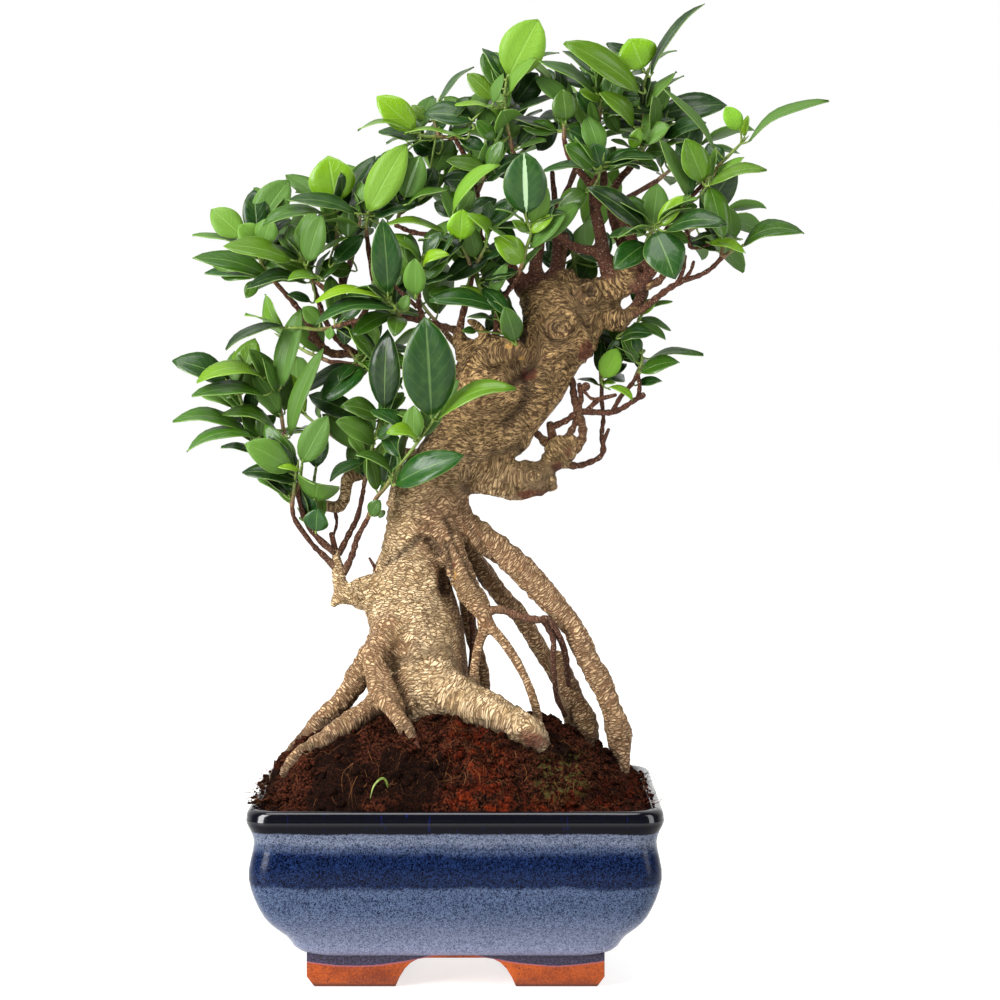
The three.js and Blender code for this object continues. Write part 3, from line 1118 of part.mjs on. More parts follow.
function growPlant() {
  const wood = woodProbes();
  const paths = {};
  for (const [name, { shoots }] of Object.entries(sprays)) paths[name] = shoots;
  for (const [name, [path]] of Object.entries(backSprays)) paths[name] = [path];
  const shootsOf = {};
  const stems = [];
  for (const [name, shoots] of Object.entries(paths)) {
    shootsOf[name] = shoots.map((path) => path.map((spot) => seen(...spot)));
    for (const places of shootsOf[name]) {
      for (const place of probePath(places, probeStep)) stems.push({ spray: name, place });
    }
  }
  const grown = [];
  for (const [name, { leaves }] of Object.entries(sprays)) {
    for (const [footAcross, footUp, tipAcross, tipUp, depth, lean, width, turn, arch] of leaves) {
      let best = null;
      for (const slide of slides) {
        const foot = seen(footAcross, footUp, depth + slide * 0.5);
        const tip = seen(tipAcross, tipUp, depth + lean + slide);
        const blade = makeBlade(foot, tip, seenFace(foot, tip, turn), width, arch);
        const leaf = growLeaf(name, blade, shootsOf[name], wood);
        leaf.room = roomFor(leaf, wood, stems, grown);
        if (!best || leaf.room > best.room) best = leaf;
        if (best.room >= bladeRoom) break;
      }
      grown.push(best);
    }
  }
  const random = makeRandom(backSeed);
  for (const [name, [, count]] of Object.entries(backSprays)) {
    const [shoot] = shootsOf[name];
    const places = probePath(shoot, 1);
    const heading = shoot[shoot.length - 1].clone().sub(shoot[0]).normalize();
    const out = new THREE.Vector3(0, 0, 1).cross(heading).normalize();
    const over = heading.clone().cross(out);
    for (let k = 0; k < count; k++) {
      const share = (k + 0.8) / count;
      const start = places[Math.round(share * (places.length - 1))];
      for (let attempt = 0; attempt < backAttempts; attempt++) {
        const angle = k * backTurn + attempt * 0.9 + random();
        const spread = THREE.MathUtils.lerp(widestSpread, narrowestSpread, share) + random() * 0.3;
        const length = backLength + random() * 14;
        const direction = heading.clone().multiplyScalar(Math.cos(spread))
          .addScaledVector(out, Math.sin(spread) * Math.sin(angle))
          .addScaledVector(over, Math.sin(spread) * Math.cos(angle));
        direction.z += backLift;
        direction.normalize();
        const foot = start.clone().addScaledVector(direction, backStalk);
        const tip = foot.clone().addScaledVector(direction, length);
        tip.z -= length * backDroop;
        const face = heading.clone().multiplyScalar(0.6);
        face.set(face.x + random() - 0.5, face.y + random() - 0.5, 1);
        const blade = makeBlade(foot, tip, face, length * (0.46 + random() * 0.1), backArch);
        const leaf = growLeaf(name, blade, shootsOf[name], wood);
        leaf.room = roomFor(leaf, wood, stems, grown);
        if (leaf.room >= bladeRoom && farthest(leaf) < backLimit) {
          grown.push(leaf);
          break;
        }
      }
    }
  }
  return { shootsOf, grown };
}

const shootBase = 1.35;
const shootEnd = 0.8;

function shootLimb(places) {
  const last = places.length - 1;
  const spots = places.map((place, i) => {
    return { place, radius: THREE.MathUtils.lerp(shootBase, shootEnd, i / last) };
  });
  return makeLimb(spots, 4, 0);
}

function makeGrass(more) {
  const spots = grass.map((spot) => ({ place: seen(...spot), radius: grassRadius }));
  return makeLimb(spots, 4, more);
}

function makeSpray(shoots, leaves, woodRoom) {
  const parts = shoots.map(shootLimb).concat(leaves.map((leaf) => makeLeaf(leaf.blade, leaf.root)));
  return keepLargest(uniteAll(parts).subtract(woodRoom), spraySlack);
}

const part = new THREE.Group();
const woodRoom = makeWood(gap);
const { shootsOf, grown } = growPlant();
part.add(makeMesh('pot', makePot(), 0x22395f, 0.15));
part.add(makeMesh('soil', makeSoil(woodRoom.add(makeGrass(gap))), 0x2f1d14, 0.95));
part.add(makeMesh('trunk', keepLargest(makeWood(0), woodSlack), 0x8d7a5c, 0.8));
for (const [name, shoots] of Object.entries(shootsOf)) {
  const leaves = grown.filter((leaf) => leaf.spray === name && leaf.blade.length > leastLeaf);
  part.add(makeMesh(name + 'Spray', makeSpray(shoots, leaves, woodRoom), 0x3f7a24, 0.4));
}
part.add(makeMesh('grassBlade', makeGrass(0), 0x7d8f3a, 0.5));

export default part;
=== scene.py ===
# A Chinese banyan bonsai in a glazed pot: the looks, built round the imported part.
import math
import random

import bmesh
import bpy
import numpy as np
from mathutils import Matrix, Vector, kdtree, noise


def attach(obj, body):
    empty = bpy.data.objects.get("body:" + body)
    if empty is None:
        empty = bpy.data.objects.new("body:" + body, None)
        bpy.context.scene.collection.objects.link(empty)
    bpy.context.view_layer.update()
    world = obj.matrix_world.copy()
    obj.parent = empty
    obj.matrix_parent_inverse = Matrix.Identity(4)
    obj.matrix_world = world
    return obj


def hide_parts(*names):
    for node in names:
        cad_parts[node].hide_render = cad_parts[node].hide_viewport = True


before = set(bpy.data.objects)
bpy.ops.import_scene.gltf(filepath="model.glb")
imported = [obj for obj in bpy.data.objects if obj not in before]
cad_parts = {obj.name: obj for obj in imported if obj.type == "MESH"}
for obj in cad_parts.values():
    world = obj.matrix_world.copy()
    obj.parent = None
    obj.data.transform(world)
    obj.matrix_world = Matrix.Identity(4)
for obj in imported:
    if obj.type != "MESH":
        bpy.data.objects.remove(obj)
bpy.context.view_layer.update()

mm = 0.001

# the eye that the tables of the plant are read from
eyeDistance = 1500
eyeHeight = 357

# trunk outline, bottom to top: up, left edge, right edge, depth, half thickness
trunkRows = [
    (112, -64, -14, 0, 20), (135, -62, -16, 0, 21), (150, -61, -17, 0, 21), (165, -63, -18, 0, 22),
    (180, -72, -19, -1, 24), (195, -76, -21, -2, 25), (210, -77, -24, -2, 25), (222, -76, -28, -2, 23),
    (232, -74, -31, -2, 21), (243, -69, -30, -2, 20), (252, -67, -26, -2, 20), (265, -66, -19, -2, 21),
    (280, -64, -16, -2, 22), (290, -58, -8, -2, 22), (300, -50, 14, -1, 22), (310, -42, 20, 0, 22),
    (320, -37, 28, 0, 22), (330, -29, 36, 1, 22), (340, -27, 41, 2, 22), (350, -8, 47, 4, 22),
    (360, 8, 56, 5, 22), (370, 12, 58, 6, 22), (382, 13, 62, 6, 22), (392, 10, 62, 6, 19),
    (399, 16, 55, 6, 13),
]

# woody limbs: paths of across, up, depth, radius
limbs = {
    "stump": [
        (-2, 328, -2, 17), (-9, 343, -6, 18), (-8, 354, -8, 14), (2, 357, -11, 10.5), (12, 355, -12, 7.5),
    ],
    "stumpShoulder": [(-10, 345, -4, 15), (-17, 356, -6, 10), (-23, 364, -8, 5), (-24, 371, -9, 3.2)],
    "stumpStub": [(-4, 354, -8, 5), (-6, 364, -10, 3.6), (-13, 373, -11, 2.8), (-18, 376, -12, 2)],
    "nose": [
        (-14, 290, -2, 15), (-2, 287, -4, 12.5), (8, 284, -4, 11.5), (20, 284, -4, 10), (28, 285, -4, 6),
    ],
    "noseNub": [(24, 281, -4, 6), (31, 280, -4, 3.5)],
    "knot": [(22, 287, -2, 6), (28, 292, -1, 6.5), (34, 299, 0, 9.5), (39, 304, 0, 8.2), (42, 307, 0, 4)],
    "rightKnob": [(52, 382, 4, 12), (63, 379, 4, 8), (70, 377, 4, 6.5), (76, 379, 4, 3)],
    "leftKnob": [
        (-56, 212, -4, 14), (-70, 217, -6, 12.5), (-83, 217, -7, 8), (-92, 216, -7, 5.5),
        (-97, 211, -7, 2.4),
    ],
    "leftKnobStem": [(-90, 216, -7, 5), (-93, 222, -6, 4.2), (-94, 231, -5, 3.8), (-96, 243, -6, 2.4)],
    "deadTwig": [(-70, 228, -8, 1.6), (-76, 238, -9, 0.8)],
    "headMass": [(30, 388, 6, 17), (38, 396, 6, 11)],
    "rootOuter": [
        (-30, 272, -4, 11), (-24, 262, -6, 9.5), (-10, 250, -8, 8.8), (5, 238, -9, 8.5), (18, 226, -9, 8),
        (31, 211, -8, 7.6), (43, 197, -6, 7.1), (51, 180, -4, 6.7), (59, 165, -2, 6.6), (65, 150, 0, 6.9),
        (69, 140, 1, 7.3), (70, 128, 2, 7), (71, 112, 2, 6), (72, 92, 2, 5),
    ],
    "rootMiddle": [
        (-32, 264, 4, 7), (-20, 245, 8, 6.2), (-8, 228, 11, 6), (2, 215, 13, 5.8), (12, 204, 15, 5.5),
        (20, 190, 17, 5.2), (28, 178, 18, 5), (35, 165, 19, 5), (40, 150, 19, 5.5), (45, 136, 18, 6),
        (48, 115, 18, 5), (50, 98, 18, 4),
    ],
    "rootCluster": [
        (32, 184, 12, 3.5), (36, 172, 12, 5.5), (42, 158, 12, 6.5), (49, 142, 13, 7.5), (52, 124, 13, 7),
        (53, 104, 13, 5),
    ],
    "rootFront": [
        (-40, 268, -12, 9), (-35, 256, -15, 9), (-29, 243, -17, 8.5), (-22, 228, -18, 8),
        (-14, 213, -19, 7), (-9, 204, -19, 5),
    ],
    "rootFrontLeft": [
        (-12, 212, -19, 4.5), (-10, 197, -18, 3.4), (-13, 185, -16, 3), (-15, 170, -14, 3),
        (-12, 153, -12, 3), (-10, 135, -10, 2.5),
    ],
    "rootFrontRight": [
        (-11, 208, -19, 4), (-5, 198, -19, 3.2), (3, 188, -19, 3), (10, 177, -18, 2.8),
        (16, 165, -17, 2.8), (21, 150, -16, 2.9), (23, 135, -15, 2.8), (24, 118, -15, 2.2),
    ],
    "rootThin": [
        (-10, 206, -20, 3), (0, 208, -21, 2.4), (12, 204, -21, 2.2), (22, 202, -20, 2.2),
        (28, 202, -18, 2.1), (33, 195, -15, 2), (37, 186, -10, 1.9), (39, 176, -4, 1.8), (40, 164, 4, 1.7),
    ],
    "rootThinFork": [
        (26, 201, -18, 1.9), (31, 191, -16, 1.7), (31, 180, -14, 1.6), (32, 168, -8, 1.5),
        (33, 157, 0, 1.5), (38, 146, 8, 1.4),
    ],
    "rootDark": [
        (-34, 246, 8, 6), (-25, 235, 13, 5), (-20, 215, 16, 4.6), (-17, 195, 18, 4.4), (-12, 180, 18, 4.4),
        (-10, 165, 17, 4.6), (-12, 148, 16, 5), (-14, 128, 15, 4),
    ],
    "rootDarkThin": [
        (-24, 230, 2, 3), (-17, 210, 2, 2.2), (-16, 190, 4, 2), (-17, 170, 4, 2), (-18, 150, 4, 2.4),
    ],
    "rootLeft": [
        (-60, 198, 2, 10), (-70, 188, 4, 9), (-80, 172, 5, 8), (-91, 156, 6, 7), (-103, 143, 7, 6.4),
        (-114, 131, 8, 5.8), (-124, 120, 8, 5), (-132, 108, 8, 4),
    ],
    "rootLowLeft": [
        (-66, 156, -12, 9), (-82, 144, -22, 7.5), (-95, 136, -27, 6.6), (-108, 128, -31, 6.2),
        (-119, 120, -34, 5.6), (-126, 112, -36, 4),
    ],
    "rootGrip": [
        (-66, 192, -18, 8), (-74, 180, -24, 6.5), (-73, 166, -30, 5.8), (-70, 157, -34, 5.4),
        (-62, 148, -39, 5), (-55, 138, -44, 4.7), (-48, 125, -49, 4.2), (-42, 113, -52, 3.8),
        (-37, 100, -54, 3),
    ],
    "rootGripFork": [(-71, 176, -26, 4.5), (-64, 162, -32, 3.6), (-58, 150, -33, 3)],
    "flare": [
        (-44, 176, -8, 16), (-34, 162, -16, 14), (-17, 152, -24, 12), (0, 145, -31, 11),
        (12, 138, -36, 10.5), (19, 132, -39, 9.5), (24, 124, -41, 7),
    ],
    "baseSwell": [(-52, 172, -8, 18), (-45, 152, -14, 16), (-40, 132, -16, 12)],
    "barbLow": [(29, 303, 0, 3), (24, 308, 0, 2.4), (21, 311, 0, 1.8)],
    "barbHigh": [(31, 306, 0, 3), (29, 316, 0, 2)],
    "twigSteep": [(37, 305, 0, 2.6), (43, 315, 0, 1.9), (46, 323, 0, 2)],
    "twigThick": [
        (43, 300, 0, 3), (47, 306, 0, 2.7), (48, 313, 0, 2.6), (46, 321, 0, 2.6), (43, 332, 0, 2.2),
        (42, 342, 0, 1.8),
    ],
    "twigFlat": [
        (29, 314, 0, 2), (38, 318, 0, 1.8), (46, 323, 0, 2), (56, 323, 2, 1.8), (65, 323, 4, 1.7),
        (72, 326, 5, 1.6), (78, 330, 5, 1.5), (83, 333, 5, 1.7),
    ],
    "twigKnobby": [(45, 323, 0, 2), (47, 332, -1, 1.7), (46, 339, -1, 1.5)],
    "twigKnobbyEnd": [(46, 335, -1, 1.4), (50, 338, -2, 2.2)],
    "twigCross": [(50, 323, 1, 1.6), (57, 330, -1, 1.5), (67, 333, -3, 1.1)],
    "twigCrossCurl": [(58, 331, -1, 1), (53, 331, -3, 0.9), (49, 335, -3, 0.9)],
    "twigLong": [
        (34, 293, 2, 3), (45, 292, 6, 1.9), (52, 294, 8, 1.7), (58, 297, 9, 1.6), (60, 302, 9, 1.8),
        (59, 310, 9, 1.4), (60, 320, 9, 1.3), (59, 330, 9, 1.3), (59, 340, 9, 1.2),
    ],
    "twigLongStub": [(60, 306, 9, 1.3), (63, 313, 8, 1.1)],
    "twigRise": [(65, 323, 4, 1.4), (70, 332, 8, 1.4), (76, 339, 10, 1.3), (80, 345, 10, 1.2)],
    "twigRiseFork": [(80, 331, 5, 1.4), (81, 338, 8, 1.2), (80, 345, 10, 1.2)],
    "headLeft": [
        (16, 392, 4, 7), (8, 402, 2, 5), (1, 411, 0, 4), (-5, 415, -1, 3), (-11, 424, -2, 2.2),
        (-12, 436, -2, 1.9), (-13, 450, -2, 1.7), (-18, 465, -3, 1.5),
    ],
    "headLeftStub": [(4, 405, 0, 3), (-5, 411, -2, 2)],
    "headInner": [
        (20, 394, 4, 6), (21, 410, 4, 4), (24, 426, 5, 3), (24, 442, 6, 2.3), (16, 456, 2, 2),
        (9, 469, -3, 1.7),
    ],
    "headBack": [(30, 396, 8, 6), (33, 414, 10, 3.4), (32, 440, 12, 2.4), (30, 462, 12, 2)],
    "headBackSide": [(34, 404, 10, 3), (38, 425, 14, 2)],
    "shoulder": [(52, 388, 4, 12), (62, 392, 4, 9.5), (70, 398, 4, 9), (75, 405, 4, 7), (78, 413, 3, 4.5)],
    "shoulderLeft": [
        (66, 397, 2, 6), (61, 410, 0, 4.4), (58, 425, -3, 4), (55, 440, -5, 3.6), (53, 453, -7, 3),
        (46, 462, -8, 2.4), (40, 470, -8, 2.1), (37, 480, -8, 1.9),
    ],
    "shoulderBow": [
        (62, 408, -1, 3.8), (54, 416, -4, 3.4), (44, 418, -5, 3), (36, 423, -5, 2.6), (31, 430, -4, 2.2),
    ],
    "shoulderInner": [
        (76, 405, 6, 5), (72, 418, 9, 4.2), (67, 430, 11, 3.6), (64, 445, 12, 3), (68, 456, 12, 2.6),
        (75, 464, 12, 2.4), (82, 474, 10, 2.2), (82, 484, 8, 1.9),
    ],
    "shoulderMesh": [
        (79, 409, 4, 4), (76, 424, 2, 3.4), (69, 436, 0, 2.8), (60, 446, -2, 2.4), (58, 452, -4, 2),
    ],
    "shoulderMeshFork": [(76, 424, 2, 2.8), (78, 434, 0, 2.4), (84, 443, -1, 1.6)],
    "shoulderRight": [
        (77, 406, 4, 4.5), (86, 416, 2, 3), (94, 425, 0, 2.4), (101, 435, -2, 2), (107, 443, -4, 1.8),
        (114, 451, -5, 1.7), (121, 458, -6, 1.5),
    ],
    "shoulderSpur": [(70, 398, 2, 5), (80, 396, 0, 4), (86, 402, -2, 3.4), (90, 406, -3, 2.4)],
    "shoulderSpurHook": [(84, 396, 0, 3), (92, 399, -2, 2.2), (96, 405, -3, 1.7)],
    "lowKnobBranch": [
        (72, 378, 4, 3.6), (79, 385, 4, 3.6), (84, 395, 3, 3.2), (86, 405, 2, 2.6), (87, 414, 0, 1.8),
    ],
    "lowLong": [
        (73, 378, 2, 3), (80, 381, 0, 2.3), (88, 387, -2, 2), (97, 394, -3, 1.8), (106, 399, -4, 1.7),
        (115, 402, -5, 1.5), (122, 406, -5, 1.4), (128, 412, -5, 1.3),
    ],
    "lowLongForkA": [(102, 397, -4, 1.4), (106, 405, -5, 1.2), (107, 413, -6, 1)],
    "lowLongForkB": [(105, 399, -4, 1.2), (110, 404, -6, 1.1), (112, 410, -7, 1)],
    "kneeTwig": [
        (101, 436, -2, 1.2), (108, 428, -2, 1), (110, 419, -2, 1.3), (115, 418, -2, 0.9),
        (121, 420, -2, 0.9),
    ],
    "stumpTwigLeft": [(-24, 366, -9, 2.6), (-22, 378, -13, 2), (-18, 392, -16, 1.7), (-16, 404, -18, 1.6)],
    "stumpTwigRight": [
        (-3, 360, -10, 3), (-2, 372, -12, 2), (0, 386, -14, 1.8), (6, 395, -16, 1.6), (10, 402, -18, 1.5),
    ],
    "stumpTwigBack": [(-1, 384, -13, 1.6), (-6, 396, -10, 1.4), (-12, 408, -7, 1.4)],
    "stumpFlat": [
        (-24, 370, -9, 2.4), (-34, 373, -14, 2.1), (-45, 376, -17, 1.9), (-56, 378, -19, 1.8),
        (-66, 378, -20, 1.7), (-78, 377, -19, 1.5), (-90, 374, -17, 1.2),
    ],
    "stumpFlatRise": [(-44, 376, -17, 1.8), (-47, 385, -22, 1.6), (-47, 395, -26, 1.4)],
    "stumpFlatStub": [(-48, 384, -22, 1.4), (-56, 391, -26, 1.3), (-66, 401, -30, 1.2)],
    "hook": [
        (-58, 292, 2, 5), (-70, 289, 2, 4.2), (-82, 287, 1, 3.8), (-89, 284, 0, 3.8), (-90, 275, 0, 3.6),
        (-94, 268, 0, 3.6), (-103, 269, 0, 3.4),
    ],
    "hookTwig": [(-96, 266, 0, 1.2), (-95, 258, -1, 0.9), (-98, 249, -2, 1)],
    "leftMain": [
        (-20, 345, 2, 6), (-38, 349, 8, 4.2), (-56, 351, 11, 3.6), (-72, 356, 12, 3.2),
        (-80, 365, 11, 2.8), (-86, 376, 9, 2.4), (-90, 390, 6, 2), (-93, 404, 4, 1.8), (-95, 418, 2, 1.5),
    ],
    "leftMainLow": [
        (-66, 353, 12, 2.6), (-77, 353, 8, 2.3), (-88, 360, 5, 2.1), (-95, 366, 3, 1.8),
        (-101, 376, 0, 1.6), (-105, 387, -5, 1.4), (-108, 397, -10, 1.3),
    ],
    "leftMainFar": [
        (-74, 355, 12, 2.6), (-86, 357, 8, 2.5), (-97, 357, 4, 2.5), (-104, 362, 1, 2.4),
        (-109, 370, -1, 2.1), (-114, 379, -3, 1.8), (-121, 388, -5, 1.6), (-129, 397, -7, 1.4),
    ],
    "leftMainFarStub": [(-104, 362, 1, 1.8), (-110, 366, -1, 1.7)],
    "leftInner": [
        (-83, 371, 10, 2.2), (-77, 384, 4, 1.9), (-73, 395, -1, 1.7), (-75, 410, -5, 1.5),
        (-77, 425, -9, 1.4),
    ],
    "cross": [
        (-7, 418, -2, 2), (-22, 424, -6, 1.7), (-36, 425, -9, 1.5), (-50, 427, -11, 1.4),
        (-60, 431, -12, 1.3),
    ],
    "crossRise": [(-15, 456, -2, 1.4), (-20, 470, -4, 1.5), (-26, 481, -6, 1.3)],
    "lowA": [
        (-95, 232, -5, 2.4), (-103, 240, -9, 1.8), (-109, 246, -12, 1.6), (-119, 260, -20, 1.4),
        (-121, 268, -23, 1.3),
    ],
    "lowB": [(-96, 241, -6, 2.3), (-107, 251, -12, 1.8), (-114, 262, -17, 1.6), (-118, 277, -20, 1.4)],
    "lowBStub": [(-96, 243, -6, 1.9), (-98, 252, -7, 1.4)],
    "lowD": [
        (-94, 240, -5, 2), (-88, 252, -4, 1.7), (-83, 262, -5, 1.6), (-80, 275, -8, 1.4),
        (-79, 281, -10, 1.3),
    ],
    "lowE": [(-91, 229, -5, 2.2), (-86, 240, -9, 1.9), (-83, 250, -13, 1.7), (-77, 261, -19, 1.4)],
    "tipLeft": [(-117, 275, -20, 1.4), (-126, 287, -17, 1.3), (-134, 295, -14, 1.2)],
    "tipInner": [(-118, 276, -20, 1.4), (-122, 292, -14, 1.3), (-125, 307, -10, 1.2)],
    "hubTop": [(53, 452, -7, 2.6), (56, 459, -12, 1.8)],
    "topInner": [
        (56, 442, -4, 2.4), (60, 456, 0, 2.1), (59, 470, 3, 1.8), (58, 482, 1, 1.6), (57, 490, 0, 1.4),
    ],
    "rightHub": [(83, 413, 1, 2.8), (85, 420, -6, 2), (87, 425, -12, 1.6)],
    "knobBack": [(66, 376, 6, 5), (71, 371, 10, 2.6), (75, 370, 12, 1.6)],
    "backLeftLow": [(-40, 296, 8, 6), (-56, 299, 16, 3.6), (-72, 300, 28, 2.6), (-92, 306, 44, 1.8)],
    "backLeftMid": [(-62, 352, 13, 3), (-78, 350, 30, 2.2), (-98, 352, 48, 1.6)],
    "backLeftHigh": [(-84, 373, 11, 2.2), (-94, 388, 30, 1.9), (-106, 398, 48, 1.5)],
    "backInnerHigh": [(-91, 396, 6, 1.8), (-86, 412, 28, 1.6), (-82, 428, 46, 1.4)],
    "backStump": [(-14, 348, 12, 5), (-22, 358, 34, 3), (-34, 372, 52, 1.9)],
    "backCentre": [(8, 402, 4, 3.5), (-6, 414, 28, 2.4), (-22, 430, 48, 1.7)],
    "backTop": [(24, 430, 6, 2.4), (15, 446, 30, 1.9), (8, 462, 48, 1.5)],
    "backTopRight": [(32, 436, 12, 2.2), (40, 454, 34, 1.8), (46, 470, 52, 1.4)],
    "backRight": [(65, 440, 12, 2.6), (76, 448, 34, 1.9), (90, 456, 52, 1.5)],
    "backRightLow": [(80, 408, 6, 3), (92, 414, 30, 2), (104, 424, 48, 1.5)],
    "backHead": [(40, 392, 16, 8), (44, 398, 38, 3.5), (50, 408, 60, 2)],
}

